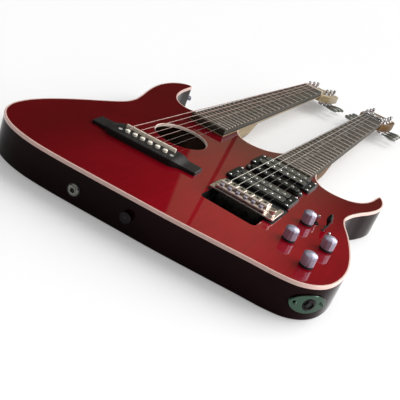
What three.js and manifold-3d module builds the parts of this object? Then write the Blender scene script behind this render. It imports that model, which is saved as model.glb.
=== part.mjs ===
import Module from 'manifold-3d';
import * as THREE from 'three';
import { mergeVertices } from 'three/addons/utils/BufferGeometryUtils.js';

// A double-neck guitar lying on its back, in millimetres. X runs across the necks towards the
// treble side, Y along the necks towards the headstocks, and Z up from the back of the body.
// The origin is on the back, midway between the necks, on the line of the electric saddles.

// Whole instrument
const neckSpacing = 136;
const scaleLength = 648;
const fretCount = 24;
const stringCount = 6;
const fitGap = 0.3;
const glueLine = 0.05;
const semitonesPerOctave = 12;
const cutOverrun = 1;
const roundSides = 16;
const smallSides = 10;

// Body
const bodyWidth = 432;
const bodyLength = 446;
const bodyDepth = 44;
const topThickness = 4;
const backThickness = 6;
const backBevel = 3;
const bindingWidth = 2.2;
const bindingHeight = 5.5;
const bindingBevel = 0.8;

// Routs in the body
const chamberWidth = 146;
const chamberLength = 214;
const chamberCorner = 48;
const chamberOffsetX = -5;
const chamberCentreY = 2;
const pickupRoutDepth = 20;
const neckPocketDepth = 24;
const springRoutWidth = 66;
const springRoutDepth = 17;
const springRoutFrontY = 118;
const controlCeiling = 8;
const coverThickness = 2;
const coverRecess = 2.6;
const coverRim = 9;
const coverCorner = 8;

// Soundhole and flat-top bridge
const soundholeRadius = 36.5;
const soundholeY = 69;
const acousticSaddleY = -10;
const bridgeSlantDegrees = 4.5;
const bridgeLength = 148;
const bridgeEndWidth = 19;
const bridgeMiddleWidth = 36;
const bridgeMiddleLength = 84;
const bridgeHeight = 8;
const bridgeEndHeight = 4.5;
const bridgeCentreY = -19;
const bridgeOffsetX = -2.5;
const boneSaddleLength = 72;
const boneSaddleThickness = 3;
const boneSaddleRise = 4.6;
const saddleSlotDepth = 4;
const pinSpacing = 10.8;
const pinHeadRadius = 3.2;
const pinHeadHeight = 2.6;
const pinSetback = 16;

// Necks
const boardThickness = 6;
const boardNutWidth = 43;
const boardEndWidth = 57;
const electricBoardRise = 4.9;
const acousticBoardRise = 9.9;
const electricBoardOverhang = 5;
const acousticBoardOverhang = 8;
const neckDepthAtNut = 14;
const neckDepthAtHeel = 17;
const heelFlatEndY = 248;
const heelSlopeLength = 46;
const fretWidth = 2.4;
const fretCrownWidth = 1.2;
const fretHeight = 1.1;
const fretTang = 0.6;
const fretInset = 0.5;
const shaftExponent = 2.4;
const heelExponent = 10;
const neckProfileSteps = 12;
const heelSteps = 4;

// Headstocks
const electricHeadPitchDegrees = 5.5;
const acousticHeadPitchDegrees = 8;
const headLength = 150;
const headHalfWidth = 35;
const headThickness = 15;
const headLap = 8;
const electricNutShelf = 15;
const acousticNutShelf = 6;

// Machine heads, three to a plate on each side of a headstock
const tunersPerSide = 3;
const firstPostFromNut = 44;
const postPitch = 36;
const postSide = 21;
const postRadius = 3;
const postHoleGap = 0.8;
const postRise = 15;
const stringRiseOnPost = 7;
const tunerPlateThickness = 1.5;
const tunerPlateWidth = 16;
const tunerPlateOverhang = 12;
const housingWidth = 13;
const housingLength = 15;
const housingDepth = 8.5;
const buttonShaftRadius = 2.2;
const buttonShaftLength = 12;
const buttonLength = 19;
const buttonWidth = 14;
const buttonThickness = 6.5;
const buttonSides = 12;

// Strings, thick to thin
const electricStringDiameters = [1.17, 0.91, 0.66, 0.43, 0.33, 0.28];
const acousticStringDiameters = [1.35, 1.07, 0.81, 0.61, 0.41, 0.33];
const stringSpacingAtNut = 7.2;
const stringSides = 8;
const stringRiseAtNut = 1.9;
const electricStringRise = 9.1;

// Nuts
const boneNutDepth = 5;
const nutStringRadius = 0.7;
const lockingNutDepth = 13;
const clampCount = 3;
const clampLength = 12.6;
const clampHeight = 4.6;
const clampBoltRadius = 1.9;

// Pickups
const bridgePickupShare = 0.0748;
const middlePickupShare = 0.1358;
const neckPickupShare = 0.196;
const humbuckerLength = 69;
const humbuckerWidth = 37;
const bridgePickupRise = 4.2;
const neckPickupRise = 7.2;
const humbuckerDepth = 12;
const bobbinGroove = 1.4;
const bobbinGrooveDepth = 2.5;
const poleRadius = 2.4;
const poleRise = 0.8;
const poleSpacing = 10.2;
const ringLength = 90;
const ringWidth = 44;
const ringHeight = 3.6;
const ringGap = 0.8;
const singleLength = 84;
const singleWidth = 18;
const singleRise = 6;
const ringRoutMargin = 2;
const ringCorner = 4;
const poleSides = 8;

// Tremolo bridge
const saddlePitch = 10.5;
const saddleWidth = 9.9;
const saddleLength = 25;
const saddleFrontHeight = 3.6;
const saddleRearHeight = 8.4;
const saddleRearLength = 12;
const saddleFrontY = -0.3;
const plateRise = 2.2;
const plateThickness = 2.6;
const plateBassSide = 40;
const plateTrebleSide = 46;
const plateFrontY = 1;
const plateRearY = -38;
const pivotY = 3;
const studSide = 33.5;
const studRadius = 3.4;
const studClearance = 0.6;
const tunerBarWidth = 66;
const tunerBarThickness = 5;
const tunerBarHeight = 5;
const fineTunerRadius = 3;
const fineTunerHeight = 3.4;
const armSocketSide = 39;
const armSocketY = -28;
const armSocketRadius = 4.6;
const armSocketHeight = 8;
const recessHalfWidth = 36;
const recessRearY = -59;
const recessFrontY = -1.5;
const recessDepth = 13;
const recessCorner = 6;
const blockSlotHalfWidth = 33;
const blockSlotRearY = -48;
const blockHalfWidth = 29;
const blockFrontY = -8;
const blockRearY = -22;
const blockBottom = 9;

// Tremolo springs and the claw that holds them
const springCount = 3;
const springRadius = 3.6;
const springSpacing = 19;
const springHeight = 11;
const clawThickness = 3;
const clawWidth = 56;
const clawHeight = 9;
const clawY = 100;
const clawScrewRadius = 2;

// Controls
const knobRadius = 9;
const knobHeight = 17;
const knobDome = 1.6;
const knobLift = 0.6;
const knobPlacesFromElectricNeck = [
  { name: 'volume_knob', x: 73, y: 19 },
  { name: 'tone_knob', x: 73, y: -44 },
  { name: 'blend_knob', x: 111, y: -18 },
  { name: 'acoustic_volume_knob', x: 107, y: -78 },
];
const togglePlacesFromElectricNeck = [
  { name: 'split_toggle', x: 81, y: 35 },
  { name: 'output_toggle', x: 104.5, y: 3.5 },
];
const toggleBallRadius = 1.2;
const toggleTipRadius = 1.9;
const toggleLength = 11;
const toggleLeanDegrees = 9;
const selectorX = 93;
const selectorY = 42;
const selectorLeanDegrees = 10;
const selectorStemRadius = 1.4;
const selectorTipRadius = 4.2;
const selectorTipLength = 13;
const selectorHeight = 20;
const leverLift = 0.4;
const controlRoutFromElectricNeck = [
  [58, -96], [104, -98], [126, -82], [133, -55], [131, -26], [120, 8], [108, 38], [100, 52],
  [84, 54], [62, 30],
];

// Side fittings, placed by their share of the way round the outer run of the outline
const jackRunShare = 0.7012;
const jackHeight = 22;
const jackPlateLength = 46;
const jackPlateHeight = 23;
const jackPlateThickness = 1.6;
const jackBore = 7.4;
const jackNutRadius = 6.6;
const jackNutRise = 1.4;
const jackBarrelLength = 18;
const jackRoutRadius = 10;
const jackRoutLength = 34;
const jackPlateSides = 20;
const eyeExponent = 1.25;
const endJackRunShare = 0.4735;
const endJackHeight = 18;
const endJackRadius = 8;
const endJackFlange = 3.2;
const endJackBarrelRadius = 6;
const endJackBarrelLength = 46;
const tailButtonRunShare = 0.529;
const strapButtonHeight = 21;
const strapButtonBase = 5.4;
const strapButtonWaist = 3.6;
const strapButtonHead = 7;
const strapButtonLength = 12;

// Colours
const crimson = 0x8a1620;
const sideDark = 0x160a0c;
const cream = 0xd3c0b4;
const maple = 0xc2a06f;
const rosewood = 0x453a33;
const bridgeBlack = 0x2b2a2d;
const bone = 0xe8dfca;
const chrome = 0xc9ccd0;
const steel = 0xa9abad;
const black = 0x121214;
const bronze = 0xb59f86;

// The outline, as shares of the body's width and length from the origin, counterclockwise
// from the blunt tip of the bass horn round the tail to the tip of the treble horn
const outerRunShares = [
  [-0.4167, 0.6525], [-0.4340, 0.6323], [-0.4502, 0.5987], [-0.4590, 0.5538], [-0.4600, 0.4978],
  [-0.4502, 0.4305], [-0.4317, 0.3587], [-0.4132, 0.2960], [-0.4012, 0.2422], [-0.4009, 0.1973],
  [-0.4097, 0.1570], [-0.4301, 0.1020], [-0.4567, 0.0336], [-0.4822, -0.0404], [-0.4998, -0.1099],
  [-0.5056, -0.1749], [-0.4977, -0.2309], [-0.4745, -0.2747], [-0.4375, -0.3072], [-0.3866, -0.3291],
  [-0.3218, -0.3404], [-0.2477, -0.3408], [-0.1551, -0.3345], [-0.0394, -0.3247], [0.0880, -0.3135],
  [0.2037, -0.2991], [0.3009, -0.2861], [0.3750, -0.2771], [0.4236, -0.2628], [0.4595, -0.2343],
  [0.4831, -0.1939], [0.4944, -0.1390], [0.4938, -0.0807], [0.4826, -0.0202], [0.4618, 0.0471],
  [0.4359, 0.1121], [0.4111, 0.1637], [0.4002, 0.2040], [0.4039, 0.2466], [0.4201, 0.3016],
  [0.4410, 0.3531], [0.4560, 0.4058], [0.4593, 0.4574], [0.4491, 0.5022], [0.4289, 0.5381],
];
const trebleCutawayShares = [
  [0.4289, 0.5381], [0.4231, 0.5067], [0.4185, 0.4641], [0.4081, 0.4215], [0.3896, 0.3845],
  [0.3623, 0.3587], [0.3275, 0.3466], [0.2940, 0.3457], [0.2674, 0.3554], [0.2472, 0.3767],
  [0.2333, 0.4047], [0.2241, 0.4417],
];
const valleyShares = [
  [0.0907, 0.4865], [0.0810, 0.4596], [0.0637, 0.4323], [0.0405, 0.4092], [0.0127, 0.3946],
  [-0.0185, 0.3901], [-0.0475, 0.3975], [-0.0694, 0.4143], [-0.0856, 0.4372], [-0.0935, 0.4619],
];
const bassCutawayShares = [
  [-0.2213, 0.4619], [-0.2292, 0.4406], [-0.2477, 0.4193], [-0.2755, 0.4076], [-0.3056, 0.4114],
  [-0.3333, 0.4294], [-0.3565, 0.4596], [-0.3745, 0.5000], [-0.3873, 0.5493], [-0.3935, 0.6009],
  [-0.3972, 0.6502],
];
const outerRunSteps = 84;
const trebleCutawaySteps = 15;
const valleySteps = 11;
const bassCutawaySteps = 15;

// Half of the headstock's outline, as shares of its half width and its length
const headOutlineShares = [
  [0.614, 0], [0.66, 0.06], [0.80, 0.15], [0.95, 0.25], [1, 0.38], [0.985, 0.6], [0.94, 0.8],
  [0.86, 0.93], [0.6, 0.985], [0.3, 1],
];
const headSteps = 16;

// Places worked out from the sizes above
const electricX = neckSpacing / 2;
const acousticX = -neckSpacing / 2;
const topZ = bodyDepth;
const topSeatZ = bodyDepth - topThickness;
const pocketFloorZ = bodyDepth - neckPocketDepth;
const radians = THREE.MathUtils.degToRad;
const lastFretDistance = scaleLength * (1 - 2 ** (-fretCount / semitonesPerOctave));
const bridgePickupY = scaleLength * bridgePickupShare;
const middlePickupY = scaleLength * middlePickupShare;
const neckPickupY = scaleLength * neckPickupShare;
const boneSaddleY = acousticSaddleY - bridgeCentreY;
const stringOffset = (index) => index - (stringCount - 1) / 2;

const wasm = await Module();
wasm.setup();

// Turns a closed geometry into a solid, leaving out the flat triangles at a turned piece's poles
function solidFrom(geometry) {
  const plain = geometry.clone();
  plain.deleteAttribute('normal');
  plain.deleteAttribute('uv');
  const merged = mergeVertices(plain);
  const corners = merged.index.array;
  const kept = [];
  for (let i = 0; i < corners.length; i += 3) {
    const [a, b, c] = [corners[i], corners[i + 1], corners[i + 2]];
    if (a !== b && b !== c && c !== a) kept.push(a, b, c);
  }
  return new wasm.Manifold(new wasm.Mesh({
    numProp: 3,
    vertProperties: merged.attributes.position.array,
    triVerts: new Uint32Array(kept),
  }));
}

function geometryFrom(solid) {
  const mesh = solid.getMesh();
  const geometry = new THREE.BufferGeometry();
  geometry.setAttribute('position', new THREE.BufferAttribute(mesh.vertProperties, 3));
  geometry.setIndex(new THREE.BufferAttribute(mesh.triVerts, 1));
  geometry.computeVertexNormals();
  return geometry;
}

function join(first, ...others) {
  return geometryFrom(others.reduce((sum, other) => sum.add(solidFrom(other)), solidFrom(first)));
}

function cut(first, ...tools) {
  return geometryFrom(tools.reduce((rest, tool) => rest.subtract(solidFrom(tool)), solidFrom(first)));
}

function overlap(first, second) {
  return geometryFrom(solidFrom(first).intersect(solidFrom(second)));
}

// Closes a run of rings into one skin. Each ring has as many points as the next. The two ends
// are filled flat, unless the run goes back to its first ring.
function loft(rings, backToStart = false) {
  const count = rings[0].length;
  const faces = [];
  const last = backToStart ? rings.length : rings.length - 1;
  for (let r = 0; r < last; r += 1) {
    const here = r * count;
    const next = ((r + 1) % rings.length) * count;
    for (let i = 0; i < count; i += 1) {
      const j = (i + 1) % count;
      faces.push([here + i, here + j, next + j], [here + i, next + j, next + i]);
    }
  }
  if (!backToStart) {
    faces.push(...endFaces(rings[0], 0).map(([a, b, c]) => [a, c, b]));
    faces.push(...endFaces(rings[rings.length - 1], (rings.length - 1) * count));
  }
  const points = rings.flat();
  let volume = 0;
  for (const [a, b, c] of faces) {
    volume += points[a].dot(new THREE.Vector3().crossVectors(points[b], points[c]));
  }
  const outward = volume > 0 ? faces : faces.map(([a, b, c]) => [a, c, b]);
  const geometry = new THREE.BufferGeometry().setFromPoints(points);
  geometry.setIndex(outward.flat());
  geometry.computeVertexNormals();
  return geometry;
}

// Triangles that fill a flat ring, wound the way the ring runs
function endFaces(ring, start) {
  const normal = new THREE.Vector3();
  ring.forEach((point, i) => normal.add(point.clone().cross(ring[(i + 1) % ring.length])));
  const across = new THREE.Vector3().subVectors(ring[1], ring[0]).normalize();
  normal.normalize();
  const along = new THREE.Vector3().crossVectors(normal, across);
  const flat = ring.map((point) => new THREE.Vector2(point.dot(across), point.dot(along)));
  const turn = Math.sign(THREE.ShapeUtils.area(flat));
  return THREE.ShapeUtils.triangulateShape(flat, []).map(([a, b, c]) => {
    const area = THREE.ShapeUtils.area([flat[a], flat[b], flat[c]]);
    const corners = Math.sign(area) === turn ? [a, b, c] : [a, c, b];
    return corners.map((corner) => corner + start);
  });
}

const lift = (outline, z) => outline.map((point) => new THREE.Vector3(point.x, point.y, z));

function prism(outline, low, high) {
  return loft([lift(outline, low), lift(outline, high)]);
}

function block(xLow, xHigh, yLow, yHigh, zLow, zHigh) {
  const geometry = new THREE.BoxGeometry(xHigh - xLow, yHigh - yLow, zHigh - zLow);
  return geometry.translate((xLow + xHigh) / 2, (yLow + yHigh) / 2, (zLow + zHigh) / 2);
}

// A round bar along Z
function rod(x, y, radius, low, high, sides = smallSides) {
  const geometry = new THREE.CylinderGeometry(radius, radius, high - low, sides);
  return geometry.rotateX(Math.PI / 2).translate(x, y, (low + high) / 2);
}

// A piece turned about Z, from a profile of radius and height pairs
function turned(profile, sides = roundSides) {
  const points = profile.map(([radius, height]) => new THREE.Vector2(radius, height));
  return new THREE.LatheGeometry(points, sides).rotateX(Math.PI / 2);
}

function roundedRectangle(centreX, centreY, width, length, corner) {
  const shape = new THREE.Shape();
  const [x, y] = [width / 2 - corner, length / 2 - corner];
  shape.absarc(centreX + x, centreY + y, corner, 0, Math.PI / 2);
  shape.absarc(centreX - x, centreY + y, corner, Math.PI / 2, Math.PI);
  shape.absarc(centreX - x, centreY - y, corner, Math.PI, 1.5 * Math.PI);
  shape.absarc(centreX + x, centreY - y, corner, 1.5 * Math.PI, 2 * Math.PI);
  const points = shape.getPoints(smallSides / 2);
  return points.filter((point, i) => point.distanceTo(points[(i + 1) % points.length]) > fitGap);
}

// The outline moved inwards by a distance, point for point. A negative distance moves it out.
function inset(outline, distance) {
  return outline.map((point, i) => {
    const before = outline[(i + outline.length - 1) % outline.length];
    const after = outline[(i + 1) % outline.length];
    const first = new THREE.Vector2().subVectors(point, before).normalize();
    const second = new THREE.Vector2().subVectors(after, point).normalize();
    const inward = new THREE.Vector2(-first.y - second.y, first.x + second.x).normalize();
    const reach = distance / inward.dot(new THREE.Vector2(-first.y, first.x));
    return point.clone().addScaledVector(inward, reach);
  });
}

function smoothCurve(shares) {
  const points = shares.map(([x, y]) => new THREE.Vector3(x * bodyWidth, y * bodyLength, 0));
  return new THREE.CatmullRomCurve3(points, false, 'centripetal');
}

const outerRun = smoothCurve(outerRunShares);

function bodyOutline() {
  const runs = [
    outerRun.getSpacedPoints(outerRunSteps),
    smoothCurve(trebleCutawayShares).getSpacedPoints(trebleCutawaySteps).slice(1),
    smoothCurve(valleyShares).getSpacedPoints(valleySteps),
    smoothCurve(bassCutawayShares).getSpacedPoints(bassCutawaySteps),
  ];
  return runs.flat().map((point) => new THREE.Vector2(point.x, point.y));
}

const outline = bodyOutline();

// The place and outward direction of a fitting on the side of the body
function sidePlace(share) {
  const point = outerRun.getPointAt(share);
  const tangent = outerRun.getTangentAt(share);
  return { point, tangent, outward: new THREE.Vector3(tangent.y, -tangent.x, 0) };
}

// Turns a piece made along Z so that it stands straight out of the body's side
function onSide(geometry, share, height) {
  const { point, tangent, outward } = sidePlace(share);
  const up = new THREE.Vector3(0, 0, 1);
  const turn = new THREE.Matrix4().makeBasis(tangent, up, outward);
  turn.setPosition(point.x, point.y, height);
  return geometry.applyMatrix4(turn);
}

function material(color, roughness, metalness) {
  return new THREE.MeshStandardMaterial({ color, roughness, metalness });
}

const guitar = new THREE.Group();

function add(name, geometry, finish, parent = guitar, place = new THREE.Vector3()) {
  const mesh = new THREE.Mesh(geometry, finish);
  mesh.name = name;
  mesh.position.copy(place);
  parent.add(mesh);
  return mesh;
}

const gloss = () => material(crimson, 0.15, 0);
const wood = () => material(maple, 0.4, 0);
const bright = () => material(chrome, 0.12, 1);
const plastic = () => material(black, 0.35, 0);

const electric = {
  name: 'electric',
  x: electricX,
  nutY: scaleLength,
  boardZ: topZ + electricBoardRise - boardThickness,
  boardEndY: scaleLength - lastFretDistance - electricBoardOverhang,
  pitch: radians(electricHeadPitchDegrees),
  shelf: electricNutShelf,
  nutDepth: lockingNutDepth,
  diameters: electricStringDiameters,
};
const acoustic = {
  name: 'acoustic',
  x: acousticX,
  nutY: scaleLength + acousticSaddleY,
  boardZ: topZ + acousticBoardRise - boardThickness,
  boardEndY: scaleLength + acousticSaddleY - lastFretDistance - acousticBoardOverhang,
  pitch: radians(acousticHeadPitchDegrees),
  shelf: acousticNutShelf,
  nutDepth: boneNutDepth,
  diameters: acousticStringDiameters,
};

// Body: core, top and binding

function neckPocket(neck) {
  const side = boardEndWidth / 2 + fitGap;
  const far = Math.max(...outline.map((point) => point.y));
  return block(neck.x - side, neck.x + side, neck.boardEndY - fitGap, far, pocketFloorZ,
    topZ + cutOverrun);
}

function recessOutline() {
  return roundedRectangle(electricX, (recessFrontY + recessRearY) / 2, 2 * recessHalfWidth,
    recessFrontY - recessRearY, recessCorner);
}

function controlRout() {
  return controlRoutFromElectricNeck.map(([x, y]) => new THREE.Vector2(electricX + x, y));
}

function springCoverOutline(margin) {
  const rear = recessRearY + coverRim;
  const length = springRoutFrontY - rear + 2 * coverRim;
  return roundedRectangle(electricX, (springRoutFrontY + rear) / 2,
    springRoutWidth + 2 * coverRim + 2 * margin, length + 2 * margin, coverCorner);
}

function humbuckerRout(y) {
  return block(electricX - humbuckerLength / 2 - ringRoutMargin,
    electricX + humbuckerLength / 2 + ringRoutMargin,
    y - humbuckerWidth / 2 - ringRoutMargin, y + humbuckerWidth / 2 + ringRoutMargin,
    topZ - pickupRoutDepth, topZ + cutOverrun);
}

function singleRout() {
  return block(electricX - singleLength / 2 - fitGap, electricX + singleLength / 2 + fitGap,
    middlePickupY - singleWidth / 2 - fitGap, middlePickupY + singleWidth / 2 + fitGap,
    topZ - pickupRoutDepth, topZ + cutOverrun);
}

function bodyCore() {
  const rabbetZ = bodyDepth - bindingHeight;
  const rabbet = inset(outline, bindingWidth + fitGap);
  const core = loft([
    lift(inset(outline, backBevel), 0),
    lift(outline, backBevel),
    lift(outline, rabbetZ),
    lift(rabbet, rabbetZ),
    lift(rabbet, topSeatZ),
  ]);
  const chamber = prism(roundedRectangle(acousticX + chamberOffsetX, chamberCentreY, chamberWidth,
    chamberLength, chamberCorner), backThickness, topZ);
  const slot = block(electricX - blockSlotHalfWidth, electricX + blockSlotHalfWidth, blockSlotRearY,
    recessFrontY, springRoutDepth / 2, topZ);
  const springRout = block(electricX - springRoutWidth / 2, electricX + springRoutWidth / 2,
    blockSlotRearY, springRoutFrontY, -cutOverrun, springRoutDepth);
  const controlCover = inset(controlRout(), -coverRim / 2);
  return cut(core, chamber, slot, springRout, neckPocket(electric), neckPocket(acoustic),
    prism(recessOutline(), topZ - recessDepth, topZ),
    prism(springCoverOutline(fitGap), -cutOverrun, coverRecess),
    prism(controlRout(), -cutOverrun, topSeatZ - controlCeiling),
    prism(inset(controlCover, -fitGap), -cutOverrun, coverRecess),
    humbuckerRout(bridgePickupY), humbuckerRout(neckPickupY), singleRout(),
    onSide(rod(0, 0, jackRoutRadius, -jackRoutLength, cutOverrun, roundSides), jackRunShare,
      jackHeight),
    onSide(rod(0, 0, endJackBarrelRadius + fitGap, -endJackBarrelLength - cutOverrun, cutOverrun,
      roundSides), endJackRunShare, endJackHeight));
}

function bodyTop() {
  const plate = prism(inset(outline, bindingWidth + fitGap), topSeatZ, topZ);
  const hole = rod(acousticX, soundholeY, soundholeRadius, topSeatZ - cutOverrun, topZ + cutOverrun,
    3 * roundSides);
  const cutTop = cut(plate, hole, prism(recessOutline(), topSeatZ - cutOverrun, topZ + cutOverrun),
    humbuckerRout(bridgePickupY), humbuckerRout(neckPickupY), singleRout(), neckPocket(electric),
    neckPocket(acoustic));
  const stud = (side) => rod(electricX + side * studSide, pivotY, studRadius, topZ - fitGap,
    topZ + plateRise - studClearance);
  return join(cutTop, stud(-1), stud(1));
}

// The cream strip round the edge of the top. The necks cross it, so it comes in two lengths.
function bindingRing() {
  const inner = inset(outline, bindingWidth);
  const low = bodyDepth - bindingHeight;
  const ring = loft([
    lift(outline, low),
    lift(outline, topZ - bindingBevel),
    lift(inset(outline, bindingBevel), topZ),
    lift(inner, topZ),
    lift(inner, low),
  ], true);
  return cut(ring, neckPocket(electric), neckPocket(acoustic));
}

function betweenNecks() {
  const side = neckSpacing / 2;
  return block(-side, side, springRoutFrontY, scaleLength, 0, bodyDepth + cutOverrun);
}

const binding = bindingRing();
add('body_core', bodyCore(), material(sideDark, 0.15, 0));
add('body_top', bodyTop(), gloss(), guitar, new THREE.Vector3(0, 0, glueLine));
add('body_binding', cut(binding, betweenNecks()), material(cream, 0.35, 0));
add('valley_binding', overlap(binding, betweenNecks()), material(cream, 0.35, 0));

function cover(outlineOfCover) {
  return prism(outlineOfCover, coverRecess - coverThickness - fitGap, coverRecess - fitGap);
}

add('tremolo_cover', cover(springCoverOutline(0)), plastic());
add('control_cover', cover(inset(controlRout(), -coverRim / 2)), plastic());

// Necks. A neck's own frame has its origin in the middle of the nut line, under the fretboard.

function neckRing(y, halfWidth, depth, exponent, top = 0) {
  const ring = [];
  for (let i = 0; i <= neckProfileSteps; i += 1) {
    const angle = (Math.PI * i) / neckProfileSteps;
    const across = Math.cos(angle);
    const down = i % neckProfileSteps === 0 ? 0 : Math.sin(angle);
    const x = halfWidth * Math.sign(across) * Math.abs(across) ** (2 / exponent);
    ring.push(new THREE.Vector3(x, y, top - depth * down ** (2 / exponent)));
  }
  return ring;
}

// Half the fretboard's width at a distance towards the body from the nut
function boardHalfWidth(neck, distance) {
  const share = distance / (neck.nutY - neck.boardEndY);
  return THREE.MathUtils.lerp(boardNutWidth, boardEndWidth, Math.max(share, 0)) / 2;
}

function headFrame(neck) {
  const frame = new THREE.Matrix4().makeRotationX(-neck.pitch);
  return frame.setPosition(0, neck.shelf, 0);
}

function headOutline(neck) {
  const length = headLength - neck.shelf;
  const points = headOutlineShares.map(([x, y]) => new THREE.Vector3(x * headHalfWidth, y * length, 0));
  const half = new THREE.CatmullRomCurve3(points, false, 'centripetal').getSpacedPoints(headSteps);
  const treble = half.map((point) => new THREE.Vector2(point.x, point.y));
  const bass = half.map((point) => new THREE.Vector2(-point.x, point.y)).reverse();
  return [...treble, ...bass];
}

function postDistance(neck, index) {
  return firstPostFromNut + index * postPitch - neck.shelf;
}

function neckShaft(neck) {
  const heelDepth = neck.boardZ - pocketFloorZ - fitGap;
  const rings = [];
  const addRing = (distance, depth, exponent) => {
    rings.push(neckRing(-distance, boardHalfWidth(neck, distance), depth, exponent));
  };
  const flatEnd = neck.nutY - heelFlatEndY;
  const slopeEnd = flatEnd - heelSlopeLength;
  addRing(neck.nutY - neck.boardEndY, heelDepth, heelExponent);
  for (let i = 0; i <= heelSteps; i += 1) {
    const share = i / heelSteps;
    const ease = THREE.MathUtils.smoothstep(share, 0, 1);
    addRing(THREE.MathUtils.lerp(flatEnd, slopeEnd, share),
      THREE.MathUtils.lerp(heelDepth, neckDepthAtHeel, ease),
      THREE.MathUtils.lerp(heelExponent, shaftExponent, ease));
  }
  addRing(slopeEnd / 2, (neckDepthAtNut + neckDepthAtHeel) / 2, shaftExponent);
  addRing(0, neckDepthAtNut, shaftExponent);
  addRing(-neck.shelf, neckDepthAtNut, shaftExponent);
  const buried = headLap * Math.tan(neck.pitch) + fitGap;
  rings.push(neckRing(neck.shelf + headLap, boardNutWidth / 2 - fitGap, neckDepthAtNut - 2 * fitGap,
    shaftExponent, -buried));
  return loft(rings);
}

function neckSolid(neck) {
  const slab = prism(headOutline(neck), -headThickness, 0).applyMatrix4(headFrame(neck));
  const holes = [];
  for (const side of [-1, 1]) {
    for (let i = 0; i < tunersPerSide; i += 1) {
      holes.push(rod(side * postSide, postDistance(neck, i), postRadius + postHoleGap,
        -headThickness - cutOverrun, cutOverrun).applyMatrix4(headFrame(neck)));
    }
  }
  return cut(join(neckShaft(neck), slab), ...holes);
}

function fretboard(neck) {
  const end = neck.nutY - neck.boardEndY;
  const section = (distance) => {
    const half = boardHalfWidth(neck, distance);
    return [[half, 0], [half, boardThickness], [-half, boardThickness], [-half, 0]].map(
      ([x, z]) => new THREE.Vector3(x, -distance, z),
    );
  };
  const frets = [];
  for (let number = 1; number <= fretCount; number += 1) {
    const distance = scaleLength * (1 - 2 ** (-number / semitonesPerOctave));
    const half = boardHalfWidth(neck, distance) - fretInset;
    const ring = (x) => [
      [-fretWidth / 2, boardThickness - fretTang], [fretWidth / 2, boardThickness - fretTang],
      [fretWidth / 2, boardThickness], [fretCrownWidth / 2, boardThickness + fretHeight],
      [-fretCrownWidth / 2, boardThickness + fretHeight], [-fretWidth / 2, boardThickness],
    ].map(([y, z]) => new THREE.Vector3(x, y - distance, z));
    frets.push(loft([ring(-half), ring(half)]));
  }
  return join(loft([section(end), section(0)]), ...frets);
}

// Nuts

function boneNut() {
  const half = boardNutWidth / 2;
  const top = boardThickness + stringRiseAtNut - nutStringRadius - fitGap;
  return block(-half, half, fitGap, boneNutDepth, glueLine, top);
}

// A steel base and three clamps, each held down by a bolt between a pair of strings
function lockingNut() {
  const half = boardNutWidth / 2;
  const stringZ = boardThickness + stringRiseAtNut;
  const baseTop = stringZ - nutStringRadius - fitGap;
  const clampLow = stringZ + nutStringRadius + fitGap;
  const parts = [block(-half, half, fitGap, lockingNutDepth, glueLine, baseTop)];
  for (let i = 0; i < clampCount; i += 1) {
    const x = (i - (clampCount - 1) / 2) * 2 * stringSpacingAtNut;
    const bolt = rod(x, lockingNutDepth / 2, clampBoltRadius, baseTop - cutOverrun,
      clampLow + cutOverrun);
    const pad = block(x - clampLength / 2, x + clampLength / 2, fitGap + cutOverrun,
      lockingNutDepth - cutOverrun, clampLow, clampLow + clampHeight);
    parts.push(bolt, pad);
  }
  return join(...parts);
}

// Machine heads, in the frame of the headstock's face

function tunerStrip(neck, side) {
  const first = postDistance(neck, 0);
  const last = postDistance(neck, tunersPerSide - 1);
  const x = side * postSide;
  const plateTop = -headThickness - fitGap;
  const plateLow = plateTop - tunerPlateThickness;
  const parts = [block(x - tunerPlateWidth / 2, x + tunerPlateWidth / 2,
    first - tunerPlateOverhang, last + tunerPlateOverhang, plateLow, plateTop)];
  for (let i = 0; i < tunersPerSide; i += 1) {
    const y = postDistance(neck, i);
    parts.push(block(x - housingWidth / 2, x + housingWidth / 2, y - housingLength / 2,
      y + housingLength / 2, plateLow - housingDepth, plateLow + fitGap));
    parts.push(rod(x, y, postRadius, plateLow, postRise));
  }
  return join(...parts);
}

// A turning button on its shaft, along X from the housing's side
function tunerButton(side) {
  const points = [];
  for (let i = 0; i < buttonSides; i += 1) {
    const angle = (2 * Math.PI * i) / buttonSides;
    points.push(new THREE.Vector2((buttonLength / 2) * Math.cos(angle),
      (buttonWidth / 2) * Math.sin(angle)));
  }
  const grip = prism(points, -buttonThickness / 2, buttonThickness / 2);
  grip.translate(buttonShaftLength + buttonLength / 2, 0, 0);
  const shaftEnd = buttonShaftLength + buttonLength / 2;
  const shaft = rod(0, 0, buttonShaftRadius, 0, shaftEnd).rotateY(Math.PI / 2);
  const button = join(shaft, grip);
  return side > 0 ? button : button.rotateZ(Math.PI);
}

// Strings

// A path of straight lengths between bends, with one step to each length
class BentPath extends THREE.Curve {
  constructor(bends) {
    super();
    this.bends = bends;
  }

  getPoint(share) {
    const place = share * (this.bends.length - 1);
    const index = Math.min(Math.floor(place), this.bends.length - 2);
    return this.bends[index].clone().lerp(this.bends[index + 1], place - index);
  }

  getPointAt(share) {
    return this.getPoint(share);
  }

  getTangentAt(share) {
    const last = this.bends.length - 1;
    const index = Math.round(share * last);
    const before = this.bends[Math.max(index - 1, 0)];
    const here = this.bends[index];
    const after = this.bends[Math.min(index + 1, last)];
    const into = new THREE.Vector3().subVectors(here, before).normalize();
    const out = new THREE.Vector3().subVectors(after, here).normalize();
    return into.add(out).normalize();
  }
}

function stringTube(bends, diameter) {
  const section = [];
  for (let i = 0; i < stringSides; i += 1) {
    const angle = (2 * Math.PI * i) / stringSides;
    section.push(new THREE.Vector2(Math.cos(angle), Math.sin(angle)).multiplyScalar(diameter / 2));
  }
  const options = { steps: bends.length - 1, extrudePath: new BentPath(bends), bevelEnabled: false };
  return geometryFrom(solidFrom(new THREE.ExtrudeGeometry(new THREE.Shape(section), options)));
}

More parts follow.
